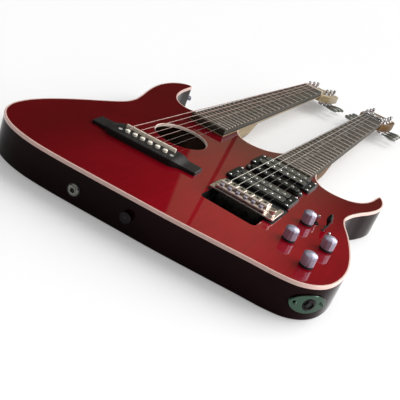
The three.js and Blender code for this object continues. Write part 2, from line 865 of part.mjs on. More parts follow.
// The three bends of a string beyond the fretboard: before and after the nut, and at its post
function bendsAtHead(neck, index) {
  const side = index < stringCount / 2 ? -1 : 1;
  const rank = side < 0 ? index : stringCount - 1 - index;
  const x = stringOffset(index) * stringSpacingAtNut;
  const z = boardThickness + stringRiseAtNut;
  const radius = neck.diameters[index] / 2;
  const post = new THREE.Vector3(side * (postSide - postRadius - radius - fitGap),
    postDistance(neck, rank), stringRiseOnPost).applyMatrix4(headFrame(neck));
  return [new THREE.Vector3(x, 0, z), new THREE.Vector3(x, neck.nutDepth + fitGap, z), post];
}

function electricString(index) {
  const start = new THREE.Vector3(stringOffset(index) * saddlePitch,
    saddleFrontY + fitGap - electric.nutY, topZ + electricStringRise - electric.boardZ);
  return stringTube([start, ...bendsAtHead(electric, index)], electric.diameters[index]);
}

// From the bridge's own frame, turned a little about Z, to the guitar's
function bridgeFrame() {
  const frame = new THREE.Matrix4().makeRotationZ(radians(bridgeSlantDegrees));
  return frame.setPosition(acousticX + bridgeOffsetX, bridgeCentreY, topZ + glueLine);
}

function acousticString(index) {
  const radius = acoustic.diameters[index] / 2;
  const x = stringOffset(index) * pinSpacing;
  const toNeck = new THREE.Matrix4().makeTranslation(-acoustic.x, -acoustic.nutY, -acoustic.boardZ);
  const frame = toNeck.multiply(bridgeFrame());
  const pin = new THREE.Vector3(x, boneSaddleY - pinSetback + pinHeadRadius + 2 * fitGap,
    bridgeHeight + radius + fitGap).applyMatrix4(frame);
  const crossings = [-1, 1].map((side) => new THREE.Vector3(x,
    boneSaddleY + (side * boneSaddleThickness) / 2,
    bridgeHeight + boneSaddleRise + radius + fitGap).applyMatrix4(frame));
  return stringTube([pin, ...crossings, ...bendsAtHead(acoustic, index)], acoustic.diameters[index]);
}

// One neck with everything that it carries
function addNeck(neck, nutName, nut, nutFinish, string) {
  const group = new THREE.Group();
  group.position.set(neck.x, neck.nutY, neck.boardZ);
  guitar.add(group);
  add(`${neck.name}_neck`, neckSolid(neck), wood(), group);
  add(`${neck.name}_fretboard`, fretboard(neck), material(rosewood, 0.5, 0), group,
    new THREE.Vector3(0, 0, glueLine));
  add(nutName, nut, nutFinish, group);
  const head = new THREE.Group();
  head.position.set(0, neck.shelf, 0);
  head.rotation.x = -neck.pitch;
  group.add(head);
  for (const [side, sideName] of [[-1, 'bass'], [1, 'treble']]) {
    add(`${neck.name}_${sideName}_tuner_strip`, tunerStrip(neck, side), bright(), head);
    for (let i = 0; i < tunersPerSide; i += 1) {
      const place = new THREE.Vector3(side * (postSide + housingWidth / 2 + fitGap),
        postDistance(neck, i),
        -headThickness - fitGap - tunerPlateThickness - housingDepth / 2);
      add(`${neck.name}_${sideName}_tuner_button_${i + 1}`, tunerButton(side), bright(), head, place);
    }
  }
  for (let i = 0; i < stringCount; i += 1) {
    const finish = material(neck === acoustic && i < stringCount - 2 ? bronze : steel, 0.3, 1);
    add(`${neck.name}_string_${stringCount - i}`, string(i), finish, group);
  }
}

addNeck(acoustic, 'acoustic_nut', boneNut(), material(bone, 0.4, 0), acousticString);
addNeck(electric, 'locking_nut', lockingNut(), bright(), electricString);

// Flat-top bridge, with its six pins pressed in, and its bone saddle

function bridgePlate(length, endWidth, middleWidth, middleLength, height) {
  const [far, near] = [length / 2, middleLength / 2];
  const [end, middle] = [endWidth / 2, middleWidth / 2];
  const half = [[far, -end], [far, end], [near, middle]];
  const other = half.map(([x, y]) => [-x, -y]);
  const points = [[near, -middle], ...half, ...other.slice(2), ...other.slice(0, 2)];
  const ordered = points.map(([x, y]) => new THREE.Vector2(x, y));
  ordered.sort((a, b) => Math.atan2(a.y, a.x) - Math.atan2(b.y, b.x));
  return prism(ordered, 0, height);
}

function acousticBridge() {
  const shoulder = (bridgeLength + bridgeMiddleLength) / 2;
  const shoulderWidth = (bridgeEndWidth + bridgeMiddleWidth) / 2;
  const base = bridgePlate(bridgeLength, bridgeEndWidth, bridgeMiddleWidth, bridgeMiddleLength,
    bridgeEndHeight);
  const raised = bridgePlate(shoulder, shoulderWidth, bridgeMiddleWidth, bridgeMiddleLength,
    bridgeHeight);
  const pins = [];
  for (let i = 0; i < stringCount; i += 1) {
    pins.push(rod(stringOffset(i) * pinSpacing, boneSaddleY - pinSetback, pinHeadRadius,
      bridgeHeight - fitGap, bridgeHeight + pinHeadHeight));
  }
  const half = boneSaddleLength / 2 + fitGap;
  const side = boneSaddleThickness / 2 + fitGap;
  const slot = block(-half, half, boneSaddleY - side, boneSaddleY + side,
    bridgeHeight - saddleSlotDepth, bridgeHeight + cutOverrun);
  return join(cut(join(base, raised), slot), ...pins).applyMatrix4(bridgeFrame());
}

function boneSaddle() {
  const half = boneSaddleLength / 2;
  const side = boneSaddleThickness / 2;
  return block(-half, half, boneSaddleY - side, boneSaddleY + side,
    bridgeHeight - saddleSlotDepth + fitGap, bridgeHeight + boneSaddleRise).applyMatrix4(bridgeFrame());
}

add('acoustic_bridge', acousticBridge(), material(bridgeBlack, 0.45, 0));
add('acoustic_saddle', boneSaddle(), material(bone, 0.35, 0));

// Pickups, each in a frame whose origin is on the top, under the pickup's middle

function poles(y, top) {
  const row = [];
  for (let i = 0; i < stringCount; i += 1) {
    row.push(rod(stringOffset(i) * poleSpacing, y, poleRadius, top - fitGap, top + poleRise,
      poleSides));
  }
  return row;
}

function humbucker(rise) {
  const [x, y] = [humbuckerLength / 2, humbuckerWidth / 2];
  const base = block(-x, x, -y, y, -humbuckerDepth, rise);
  const groove = block(-x - cutOverrun, x + cutOverrun, -bobbinGroove / 2, bobbinGroove / 2,
    rise - bobbinGrooveDepth, rise + cutOverrun);
  return join(cut(base, groove), ...poles(-y / 2, rise), ...poles(y / 2, rise));
}

function singleCoil() {
  const outlineOfCover = roundedRectangle(0, 0, singleLength, singleWidth,
    singleWidth / 2 - fitGap);
  return join(prism(outlineOfCover, -humbuckerDepth, singleRise), ...poles(0, singleRise));
}

function pickupRing() {
  const window = block(-humbuckerLength / 2 - ringGap, humbuckerLength / 2 + ringGap,
    -humbuckerWidth / 2 - ringGap, humbuckerWidth / 2 + ringGap, -cutOverrun,
    ringHeight + cutOverrun);
  return cut(prism(roundedRectangle(0, 0, ringLength, ringWidth, ringCorner), 0, ringHeight), window);
}

const humbuckers = [
  ['bridge_pickup', bridgePickupY, bridgePickupRise],
  ['neck_pickup', neckPickupY, neckPickupRise],
];
for (const [name, y, rise] of humbuckers) {
  add(name, humbucker(rise), plastic(), guitar, new THREE.Vector3(electricX, y, topZ));
  add(`${name}_ring`, pickupRing(), plastic(), guitar,
    new THREE.Vector3(electricX, y, topZ + 2 * glueLine));
}
add('middle_pickup', singleCoil(), plastic(), guitar,
  new THREE.Vector3(electricX, middlePickupY, topZ));

// Tremolo bridge, in a frame whose origin is on the top, at the electric saddle line. It turns
// on the edges of two studs that stand in the top.

function tremoloUnit() {
  const plateTop = plateRise + plateThickness;
  const parts = [
    block(-plateBassSide, plateTrebleSide, plateRearY, plateFrontY, plateRise, plateTop),
    block(-blockHalfWidth, blockHalfWidth, blockRearY, blockFrontY, blockBottom - bodyDepth,
      plateRise + fitGap),
    block(-tunerBarWidth / 2, tunerBarWidth / 2, plateRearY, plateRearY + tunerBarThickness,
      plateTop - fitGap, plateTop + tunerBarHeight),
    rod(armSocketSide, armSocketY, armSocketRadius, plateTop - fitGap, plateTop + armSocketHeight),
  ];
  for (let i = 0; i < stringCount; i += 1) {
    const x = stringOffset(i) * saddlePitch;
    const [low, high] = [x - saddleWidth / 2, x + saddleWidth / 2];
    const rear = saddleFrontY - saddleLength;
    parts.push(
      block(low, high, rear, saddleFrontY, plateTop - fitGap, plateTop + saddleFrontHeight),
      block(low, high, rear, rear + saddleRearLength, plateTop, plateTop + saddleRearHeight),
      rod(x, plateRearY + tunerBarThickness / 2, fineTunerRadius, plateTop + tunerBarHeight - fitGap,
        plateTop + tunerBarHeight + fineTunerHeight),
    );
  }
  const pivotZ = plateRise + plateThickness / 2;
  return join(...parts).translate(0, -pivotY, -pivotZ);
}

add('tremolo_unit', tremoloUnit(), bright(), guitar,
  new THREE.Vector3(electricX, pivotY, topZ + plateRise + plateThickness / 2));

// Three springs from the block to a claw, which two screws hold to the wall of the rout
function tremoloSprings() {
  const claw = block(-clawWidth / 2, clawWidth / 2, clawY, clawY + clawThickness,
    springHeight - clawHeight / 2, springHeight + clawHeight / 2);
  const along = (x, radius, from, to) => rod(x, -springHeight, radius, from, to)
    .rotateX(-Math.PI / 2);
  const parts = [claw];
  for (let i = 0; i < springCount; i += 1) {
    const x = (i - (springCount - 1) / 2) * springSpacing;
    parts.push(along(x, springRadius, blockFrontY + fitGap, clawY + fitGap));
  }
  for (const side of [-1, 1]) {
    parts.push(along(side * springSpacing / 2, clawScrewRadius, clawY, springRoutFrontY - fitGap));
  }
  return join(...parts);
}

add('tremolo_springs', tremoloSprings(), material(steel, 0.3, 1), guitar,
  new THREE.Vector3(electricX, 0, 0));

// Controls

function knob() {
  return turned([
    [0, 0], [knobRadius, 0], [knobRadius, knobHeight - 2 * knobDome],
    [knobRadius - knobDome / 2, knobHeight - knobDome / 2], [knobRadius / 2, knobHeight],
    [0, knobHeight],
  ]);
}

for (const place of knobPlacesFromElectricNeck) {
  add(place.name, knob(), bright(), guitar,
    new THREE.Vector3(electricX + place.x, place.y, topZ + glueLine + knobLift));
}

function toggleLever() {
  return turned([
    [0, -toggleBallRadius], [toggleBallRadius, 0], [toggleBallRadius, toggleLength / 4],
    [toggleTipRadius, toggleLength - toggleTipRadius],
    [toggleTipRadius / 2, toggleLength], [0, toggleLength],
  ], smallSides).rotateX(-radians(toggleLeanDegrees));
}

for (const place of togglePlacesFromElectricNeck) {
  add(place.name, toggleLever(), bright(), guitar,
    new THREE.Vector3(electricX + place.x, place.y - toggleLength * Math.sin(radians(toggleLeanDegrees)),
      topZ + glueLine + leverLift + toggleBallRadius));
}

function selectorLever() {
  const neckZ = selectorHeight - selectorTipLength;
  return turned([
    [0, -selectorStemRadius], [selectorStemRadius, 0], [selectorStemRadius, neckZ],
    [selectorTipRadius * 0.7, neckZ], [selectorTipRadius, neckZ + selectorTipLength / 3],
    [selectorTipRadius * 0.8, selectorHeight - selectorTipRadius / 2],
    [selectorTipRadius * 0.4, selectorHeight], [0, selectorHeight],
  ], smallSides).rotateX(radians(selectorLeanDegrees));
}

add('selector_lever', selectorLever(), plastic(), guitar, new THREE.Vector3(electricX + selectorX,
  selectorY, topZ + glueLine + leverLift + selectorStemRadius));

// Side fittings

// An eye-shaped plate bent round the body's side, with the jack's nut and barrel in its middle
function jackPlate() {
  const near = inset(outline, -fitGap);
  const far = inset(outline, -fitGap - jackPlateThickness);
  const [low, high] = [jackHeight - jackPlateHeight, jackHeight + jackPlateHeight];
  const band = loft([lift(near, low), lift(far, low), lift(far, high), lift(near, high)], true);
  const eye = [];
  for (let i = 0; i < jackPlateSides; i += 1) {
    const angle = (2 * Math.PI * i) / jackPlateSides;
    const rise = Math.sin(angle);
    eye.push(new THREE.Vector2((jackPlateLength / 2) * Math.cos(angle),
      (jackPlateHeight / 2) * Math.sign(rise) * Math.abs(rise) ** eyeExponent));
  }
  const window = onSide(prism(eye, -jackBarrelLength, jackBarrelLength), jackRunShare, jackHeight);
  const front = fitGap + jackPlateThickness + jackNutRise;
  const barrel = onSide(rod(0, 0, jackNutRadius, -jackBarrelLength, front, roundSides),
    jackRunShare, jackHeight);
  const bore = onSide(rod(0, 0, jackBore / 2, -jackBarrelLength - cutOverrun, front + cutOverrun,
    roundSides), jackRunShare, jackHeight);
  return cut(join(overlap(band, window), barrel), bore);
}

function endJack() {
  const flange = rod(0, 0, endJackRadius, fitGap, fitGap + endJackFlange, roundSides);
  const barrel = rod(0, 0, endJackBarrelRadius, -endJackBarrelLength, fitGap + endJackFlange / 2,
    roundSides);
  const bore = rod(0, 0, jackBore / 2, -endJackBarrelLength - cutOverrun,
    endJackFlange + cutOverrun, roundSides);
  return onSide(cut(join(flange, barrel), bore), endJackRunShare, endJackHeight);
}

function strapButton() {
  return turned([
    [0, 0], [strapButtonBase, 0], [strapButtonWaist, strapButtonLength / 4],
    [strapButtonWaist, strapButtonLength * 0.6], [strapButtonHead, strapButtonLength * 0.8],
    [strapButtonHead, strapButtonLength * 0.92], [0, strapButtonLength],
  ], smallSides + 2).translate(0, 0, fitGap);
}

// The blunt tip of the bass horn, between the two ends of the outline's list
function onHornTip(geometry) {
  const [from, to] = [outline[outline.length - 1], outline[0]];
  const tangent = new THREE.Vector3(to.x - from.x, to.y - from.y, 0).normalize();
  const outward = new THREE.Vector3(tangent.y, -tangent.x, 0);
  const turn = new THREE.Matrix4().makeBasis(tangent, new THREE.Vector3(0, 0, 1), outward);
  turn.setPosition((from.x + to.x) / 2, (from.y + to.y) / 2, strapButtonHeight);
  return geometry.applyMatrix4(turn);
}

add('jack_plate', jackPlate(), bright());
add('end_jack', endJack(), bright());
add('tail_strap_button', onSide(strapButton(), tailButtonRunShare, strapButtonHeight), bright());
add('horn_strap_button', onHornTip(strapButton()), bright());

export default guitar;
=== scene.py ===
"""A double-neck guitar that lies on its back on a pale studio floor.

X runs across the necks towards the treble side, Y along the necks towards the headstocks, and Z
up from the back of the body. Sizes are in millimetres until a mesh is made.
"""

import logging
import math
from collections.abc import Iterable, Sequence
from dataclasses import dataclass, field
from enum import Enum

import bmesh
import bpy
from mathutils import Matrix, Vector
from mathutils.geometry import intersect_line_line_2d

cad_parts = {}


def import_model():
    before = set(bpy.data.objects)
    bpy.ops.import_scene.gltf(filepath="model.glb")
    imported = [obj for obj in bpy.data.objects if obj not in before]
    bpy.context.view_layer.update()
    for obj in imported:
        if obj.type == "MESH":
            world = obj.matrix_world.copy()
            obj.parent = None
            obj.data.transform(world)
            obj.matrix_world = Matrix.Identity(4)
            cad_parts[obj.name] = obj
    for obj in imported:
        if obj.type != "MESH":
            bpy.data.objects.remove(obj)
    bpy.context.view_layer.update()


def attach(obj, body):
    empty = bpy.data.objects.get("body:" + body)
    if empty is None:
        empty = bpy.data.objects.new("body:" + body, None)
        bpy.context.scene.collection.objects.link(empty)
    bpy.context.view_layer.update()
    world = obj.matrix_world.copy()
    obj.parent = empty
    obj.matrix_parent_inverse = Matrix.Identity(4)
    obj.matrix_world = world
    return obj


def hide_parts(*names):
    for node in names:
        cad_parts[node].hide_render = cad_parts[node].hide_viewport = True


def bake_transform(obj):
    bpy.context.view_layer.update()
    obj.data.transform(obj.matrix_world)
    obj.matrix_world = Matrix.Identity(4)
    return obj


LOG = logging.getLogger("guitar")
MM = 0.001
METALLIC_FROM = 0.9
POLE_RADIUS = 1e-4
MERGE = 3e-4
SLIVER = 1e-4
LEVEL = 0.99995
CUT_SHARP = 28
CURVE_STEPS = 30
MITRE_LIMIT = 0.4
LONG_OUTLINE = 200
LOOP_LENGTH = 12
FIXED = "guitar"
TREMOLO = "tremolo_bridge"
TOP = 44.05
DECK = 44.0
SCALE = 648.0
FRETS = 24
STRINGS = 6
BRIDGE_PICKUP_Y = SCALE * 0.0748
MIDDLE_PICKUP_Y = SCALE * 0.1358
NECK_PICKUP_Y = SCALE * 0.196
ELECTRIC_X = 68.0
ACOUSTIC_X = -68.0

Flat = tuple[float, float]
Direction = tuple[float, float, float]
Ramp = tuple[float, float, float, float]
Ring = list[Vector]

# The outline, as shares of the body's width and length, counterclockwise from the tip of the bass
# horn round the tail to the tip of the treble horn, and on through the cutaways
OUTER_RUN = (
    (-0.4167, 0.6525), (-0.4340, 0.6323), (-0.4502, 0.5987), (-0.4590, 0.5538), (-0.4600, 0.4978),
    (-0.4502, 0.4305), (-0.4317, 0.3587), (-0.4132, 0.2960), (-0.4012, 0.2422), (-0.4009, 0.1973),
    (-0.4097, 0.1570), (-0.4301, 0.1020), (-0.4567, 0.0336), (-0.4822, -0.0404), (-0.4998, -0.1099),
    (-0.5056, -0.1749), (-0.4977, -0.2309), (-0.4745, -0.2747), (-0.4375, -0.3072), (-0.3866, -0.3291),
    (-0.3218, -0.3404), (-0.2477, -0.3408), (-0.1551, -0.3345), (-0.0394, -0.3247), (0.0880, -0.3135),
    (0.2037, -0.2991), (0.3009, -0.2861), (0.3750, -0.2771), (0.4236, -0.2628), (0.4595, -0.2343),
    (0.4831, -0.1939), (0.4944, -0.1390), (0.4938, -0.0807), (0.4826, -0.0202), (0.4618, 0.0471),
    (0.4359, 0.1121), (0.4111, 0.1637), (0.4002, 0.2040), (0.4039, 0.2466), (0.4201, 0.3016),
    (0.4410, 0.3531), (0.4560, 0.4058), (0.4593, 0.4574), (0.4491, 0.5022), (0.4289, 0.5381),
)
TREBLE_CUTAWAY = (
    (0.4289, 0.5381), (0.4231, 0.5067), (0.4185, 0.4641), (0.4081, 0.4215), (0.3896, 0.3845),
    (0.3623, 0.3587), (0.3275, 0.3466), (0.2940, 0.3457), (0.2674, 0.3554), (0.2472, 0.3767),
    (0.2333, 0.4047), (0.2241, 0.4417),
)
VALLEY = (
    (0.0907, 0.4865), (0.0810, 0.4596), (0.0637, 0.4323), (0.0405, 0.4092), (0.0127, 0.3946),
    (-0.0185, 0.3901), (-0.0475, 0.3975), (-0.0694, 0.4143), (-0.0856, 0.4372), (-0.0935, 0.4619),
)
BASS_CUTAWAY = (
    (-0.2213, 0.4619), (-0.2292, 0.4406), (-0.2477, 0.4193), (-0.2755, 0.4076), (-0.3056, 0.4114),
    (-0.3333, 0.4294), (-0.3565, 0.4596), (-0.3745, 0.5000), (-0.3873, 0.5493), (-0.3935, 0.6009),
    (-0.3972, 0.6502),
)
CONTROL_ROUT = (
    (58, -96), (104, -98), (126, -82), (133, -55), (131, -26), (120, 8), (108, 38), (100, 52), (84, 54),
    (62, 30),
)
HEAD_OUTLINE = (
    (0.614, 0), (0.66, 0.06), (0.80, 0.15), (0.95, 0.25), (1, 0.38), (0.985, 0.6), (0.94, 0.8), (0.86, 0.93),
    (0.6, 0.985), (0.3, 1),
)


class Side(Enum):
    """The two sides of a neck."""

    BASS = -1
    TREBLE = 1


class NutKind(Enum):
    """What holds the strings at the end of the fretboard."""

    BONE = "bone"
    LOCKING = "locking"


def centripetal(points: Sequence[Flat], step: float) -> list[Flat]:
    """Draws a centripetal curve through points, at even distances.

    Args:
        points: The places that the curve goes through.
        step: The distance between the places that it returns.

    Returns:
        The places on the curve.
    """
    knots = [Vector(p) for p in points]
    knots = [2 * knots[0] - knots[1], *knots, 2 * knots[-1] - knots[-2]]
    fine: list[Vector] = []
    for a, b, c, d in zip(knots, knots[1:], knots[2:], knots[3:]):
        t1 = (b - a).length ** 0.5
        t2 = t1 + (c - b).length ** 0.5
        t3 = t2 + (d - c).length ** 0.5
        for i in range(CURVE_STEPS):
            t = t1 + (t2 - t1) * i / CURVE_STEPS
            ab, bc, cd = a.lerp(b, t / t1), b.lerp(c, (t - t1) / (t2 - t1)), c.lerp(d, (t - t2) / (t3 - t2))
            first, second = ab.lerp(bc, t / t2), bc.lerp(cd, (t - t1) / (t3 - t1))
            fine.append(first.lerp(second, (t - t1) / (t2 - t1)))
    fine.append(knots[-2])
    run = [0.0]
    for a, b in zip(fine, fine[1:]):
        run.append(run[-1] + (b - a).length)
    count = max(2, round(run[-1] / step))
    placed, j = [], 0
    for i in range(count + 1):
        target = run[-1] * i / count
        while j < len(run) - 2 and run[j + 1] < target:
            j += 1
        placed.append(tuple(fine[j].lerp(fine[j + 1], (target - run[j]) / (run[j + 1] - run[j]))))
    return placed


def inset(outline: Sequence[Flat], distance: float) -> list[Flat]:
    """Moves a counterclockwise outline inwards, point for point, and closes the loops at thin tips.

    Args:
        outline: The outline's points.
        distance: How far each edge moves. A negative one moves it outwards.

    Returns:
        The moved points.
    """
    changed = []
    for i, point in enumerate(outline):
        first = (Vector(point) - Vector(outline[i - 1])).normalized()
        second = (Vector(outline[(i + 1) % len(outline)]) - Vector(point)).normalized()
        inward = Vector((-first.y - second.y, first.x + second.x)).normalized()
        reach = distance / max(inward.dot(Vector((-first.y, first.x))), MITRE_LIMIT)
        changed.append(Vector(point) + inward * reach)
    count = len(changed)
    for i in range(count if count > LONG_OUTLINE else 0):
        for j in range(i + LOOP_LENGTH, i + 1, -1):
            a, b, c, d = (changed[k % count] for k in (i, i + 1, j, j + 1))
            meeting = intersect_line_line_2d(a, b, c, d)
            if meeting:
                for k in range(i + 1, j + 1):
                    changed[k % count] = meeting.copy()
                break
    return [tuple(p) for p in changed]


def full_turn(sides: int) -> list[float]:
    """Returns the angles of a full turn in even steps."""
    return [math.tau * i / sides for i in range(sides)]


def quarter_turn(steps: int) -> list[float]:
    """Returns the angles of a quarter turn in even steps, both ends included."""
    return [math.pi / 2 * i / steps for i in range(steps + 1)]


def smoothstep(share: float) -> float:
    """Returns a share from 0 to 1, eased at both ends."""
    return share * share * (3 - 2 * share)


def row_of_six(spacing: float) -> list[float]:
    """Returns the places of the six strings across their row, from the thick side."""
    return [(i - 2.5) * spacing for i in range(STRINGS)]


def circle(radius: float, sides: int, centre: Flat = (0, 0)) -> list[Flat]:
    """Returns the corners of a round outline."""
    return [(centre[0] + radius * math.cos(a), centre[1] + radius * math.sin(a)) for a in full_turn(sides)]


def polar(reach: Sequence[float], z: float) -> Ring:
    """Draws a ring about Z from its radii at even angles."""
    return [Vector((r * math.cos(a), r * math.sin(a), z)) for r, a in zip(reach, full_turn(len(reach)))]


def rounded(width: float, length: float, corner: float, centre: Flat = (0, 0), steps: int = 6) -> list[Flat]:
    """Draws a rectangle with round corners.

    Args:
        width: Its size along X.
        length: Its size along Y.
        corner: The corners' radius.
        centre: Where its middle is.
        steps: How many steps each corner is cut into.

    Returns:
        The outline's points, counterclockwise.
    """
    x, y = width / 2 - corner, length / 2 - corner
    points = []
    for quarter, (sx, sy) in enumerate(((1, 1), (-1, 1), (-1, -1), (1, -1))):
        middle = (centre[0] + sx * x, centre[1] + sy * y)
        for i in range(steps + 1):
            a = (quarter + i / steps) * math.pi / 2
            points.append((middle[0] + corner * math.cos(a), middle[1] + corner * math.sin(a)))
    return points


def lift(outline: Iterable[Flat], z: float) -> Ring:
    """Raises a flat outline to a height."""
    return [Vector((x, y, z)) for x, y in outline]


def slab(outline: Sequence[Flat], low: float, high: float, edge: float = 0.0, steps: int = 3,
         over: bool = True) -> list[Ring]:
    """Stacks an outline into a plate with round edges.

    Args:
        outline: The plate's outline, counterclockwise.
        low: The height of its underside.
        high: The height of its top.
        edge: The radius of its edges.
        steps: How many steps each edge is cut into.
        over: Whether the upper edge is round too.

    Returns:
        The rings of the stack, from low to high.
    """
    if not edge:
        return [lift(outline, low), lift(outline, high)]
    arc = [(edge * (1 - math.sin(a)), edge * (1 - math.cos(a))) for a in quarter_turn(steps)]
    lower = [lift(inset(outline, inward), low + rise) for inward, rise in arc]
    if not over:
        return [*lower, lift(outline, high)]
    return lower + [lift(inset(outline, inward), high - drop) for drop, inward in arc]


def shift(x: float = 0, y: float = 0, z: float = 0) -> Matrix:
    """Returns a move without a turn."""
    return Matrix.Translation((x, y, z))


def spin(axis: str, degrees: float) -> Matrix:
    """Returns a turn about one of the frame's axes."""
    return Matrix.Rotation(math.radians(degrees), 4, axis)


def side_frame(along: Vector, place: Vector, height: float) -> Matrix:
    """Finds a frame on the side of the body.

    Args:
        along: The way along the side.
        place: Where it is, seen from above.
        height: Its height above the back.

    Returns:
        A frame with X along the side, Y up and Z out of the body.
    """
    x = along.normalized().to_3d()
    turn = Matrix((x, Vector((0, 0, 1)), Vector((x.y, -x.x, 0)))).transposed().to_4x4()
    return shift(place.x, place.y, height) @ turn


def eased(points: Sequence[Flat], i: int) -> Flat:
    """Returns a point moved halfway towards the middle of its neighbours."""
    before, here, after = (Vector(points[k % len(points)]) for k in (i - 1, i, i + 1))
    return tuple(here.lerp((before + after) / 2, 0.5))


def between(a: Flat, b: Flat, count: int, first: int = 0) -> list[Flat]:
    """Returns even places on the way from one point to another, without the last."""
    return [tuple(Vector(a).lerp(Vector(b), i / count)) for i in range(first, count)]


class Shape:
    """A mesh that grows piece by piece, in millimetres."""

    def __init__(self, place: Matrix | None = None) -> None:
        """Starts an empty mesh.

        Args:
            place: Where everything that is added goes.
        """
        self.place = place or Matrix.Identity(4)
        self.points: list[Vector] = []
        self.faces: list[tuple[int, ...]] = []
        self.slots: list[int] = []

    def loft(self, rings: Sequence[Ring], slot: int = 0, loop: bool = False,
             place: Matrix | None = None) -> "Shape":
        """Skins a row of rings that all have the same number of points.

        Args:
            rings: The rings in order.
            slot: Which of the piece's finishes the skin takes.
            loop: Whether the last ring joins the first, which leaves no end faces.
            place: A further move of these rings alone.

        Returns:
            This shape.
        """
        where = self.place @ (place or Matrix.Identity(4))
        start, count = len(self.points), len(rings[0])
        for ring in rings:
            self.points.extend(where @ Vector(p) for p in ring)
        faces = []
        for i in range(len(rings) if loop else len(rings) - 1):
            a, b = start + i * count, start + (i + 1) % len(rings) * count
            faces.extend((a + j, a + (j + 1) % count, b + (j + 1) % count, b + j) for j in range(count))
        if not loop:
            last = start + (len(rings) - 1) * count
            faces.append(tuple(start + j for j in reversed(range(count))))
            faces.append(tuple(last + j for j in range(count)))
        self.faces.extend(faces)
        self.slots.extend([slot] * len(faces))
        return self

    def turn(self, profile: Sequence[Flat], sides: int = 32, slot: int = 0,
             place: Matrix | None = None) -> "Shape":
        """Adds a piece turned about Z, from its pairs of radius and height between the poles."""
        return self.loft([lift(circle(max(r, POLE_RADIUS), sides), z) for r, z in profile], slot, place=place)

    def rod(self, radius: float, low: float, high: float, sides: int = 16, slot: int = 0,
            place: Matrix | None = None) -> "Shape":
        """Adds a plain round bar or disc about Z, from one height to another."""
        return self.turn([(0, low), (radius, low), (radius, high), (0, high)], sides, slot, place)

    def nut(self, radii: tuple[float, float, float], low: float, high: float, slot: int = 0,
            place: Matrix | None = None) -> "Shape":
        """Adds a six-sided nut with a bevelled upper edge.

        Args:
            radii: The radii of its side, of its upper face and of its hole.
            low: The height of its lower face.
            high: The height of its upper face.
            slot: Which of the piece's finishes it takes.
            place: Where it goes.

        Returns:
            This shape.
        """
        outer, face, hole = radii
        profile = [(outer, low), (outer, high - 0.3), (face, high), (hole, high), (hole, low)]
        return self.loft([lift(circle(r, 6), z) for r, z in profile], slot, loop=True, place=place)

    def box(self, low: Sequence[float], high: Sequence[float], edge: float = 0.0, slot: int = 0,
            place: Matrix | None = None) -> "Shape":
        """Adds a block with round edges.

        Args:
            low: Its lowest corner.
            high: Its highest corner.
            edge: The radius of its edges.
            slot: Which of the piece's finishes it takes.
            place: A further move.

        Returns:
            This shape.
        """
        size = [h - l for l, h in zip(low, high)]
        edge = min(edge, *(s * 0.49 for s in size))
        centre = ((low[0] + high[0]) / 2, (low[1] + high[1]) / 2)
        outline = rounded(size[0], size[1], edge + 0.002, centre, 3)
        return self.loft(slab(outline, low[2], high[2], edge), slot, place=place)

    def tube(self, path: Sequence[Vector], radius: float, sides: int) -> "Shape":
        """Adds a round bar along a path.

        Args:
            path: The points that it follows.
            radius: Its radius.
            sides: How many sides it has.

        Returns:
            This shape.
        """
        path = [Vector(p) for p in path]
        last = len(path) - 1
        normal = Vector((0, 0, 1))
        rings = []
        for i, point in enumerate(path):
            tangent = (path[min(i + 1, last)] - path[max(i - 1, 0)]).normalized()
            side = tangent.cross(normal)
            side = (side if side.length > 1e-3 else tangent.cross(Vector((1, 0, 0)))).normalized()
            normal = side.cross(tangent).normalized()
            rings.append([point + side * x + normal * y for x, y in circle(radius, sides)])
        return self.loft(rings)

    def screw(self, radius: float, rise: float, place: Matrix, slots: tuple[int, int] = (0, 1)) -> "Shape":
        """Adds a domed screw head with a cross of two dark bars on it, painted shade in place of a cut cross.

        Args:
            radius: The head's radius.
            rise: How far it stands out.
            place: Where its seat is.
            slots: The finishes of the head and of its dark cross, which is painted shade.

        Returns:
            This shape.
        """
        profile = [(0, -0.4), (radius, -0.4), (radius, rise * 0.35), (radius * 0.8, rise * 0.8),
                   (radius * 0.4, rise), (0, rise)]
        self.turn(profile, 16, slots[0], place)
        # The cross is two dark bars standing on the head: painted shade in place of a cut cross
        arm, wide = radius * 0.62, radius * 0.14
        for x, y in ((arm, wide), (wide, arm)):
            self.box((-x, -y, rise * 0.5), (x, y, rise * 1.03), 0.02, slots[1], place)
        return self

    def socket(self, radius: float, low: float, high: float, hole: float, place: Matrix) -> "Shape":
        """Adds a cap screw with a six-sided hole.

        Args:
            radius: The head's radius.
            low: Where it starts.
            high: Where its face is.
            hole: The hole's radius.
            place: Where it stands.

        Returns:
            This shape.
        """
        edge = min(0.4, radius * 0.15)
        profile = [(0, low), (radius, low), (radius, high - edge), (radius - edge, high), (hole, high),
                   (hole, high - hole), (0, high - hole * 1.2)]
        sixth = math.pi / 3
        flats = [hole * 0.87 / math.cos((a + sixth / 2) % sixth - sixth / 2) for a in full_turn(24)]
        rings = [polar([flat if r == hole else max(r, POLE_RADIUS) for flat in flats], z) for r, z in profile]
        return self.loft(rings, place=place)

    def build(self, name: str, finishes: Sequence["Finish"], sharp: float = 32) -> bpy.types.Object:
        """Makes the Blender object.

        Args:
            name: The object's name.
            finishes: Its finishes, in the order of the slots.
            sharp: The angle in degrees past which an edge stays sharp.

        Returns:
            The object, in metres.
        """
        mesh = bpy.data.meshes.new(name)
        mesh.from_pydata([p * MM for p in self.points], [], self.faces)
        mesh.polygons.foreach_set("material_index", self.slots)
        for finish in finishes:
            mesh.materials.append(finish.material())
        work = bmesh.new()
        work.from_mesh(mesh)
        bmesh.ops.remove_doubles(work, verts=work.verts, dist=MERGE * MM)
        bmesh.ops.dissolve_degenerate(work, dist=SLIVER * MM, edges=work.edges)
        bmesh.ops.recalc_face_normals(work, faces=work.faces)
        work.to_mesh(mesh)
        work.free()
        smooth(mesh, sharp)
        piece = bpy.data.objects.new(name, mesh)
        bpy.context.scene.collection.objects.link(piece)
        return piece

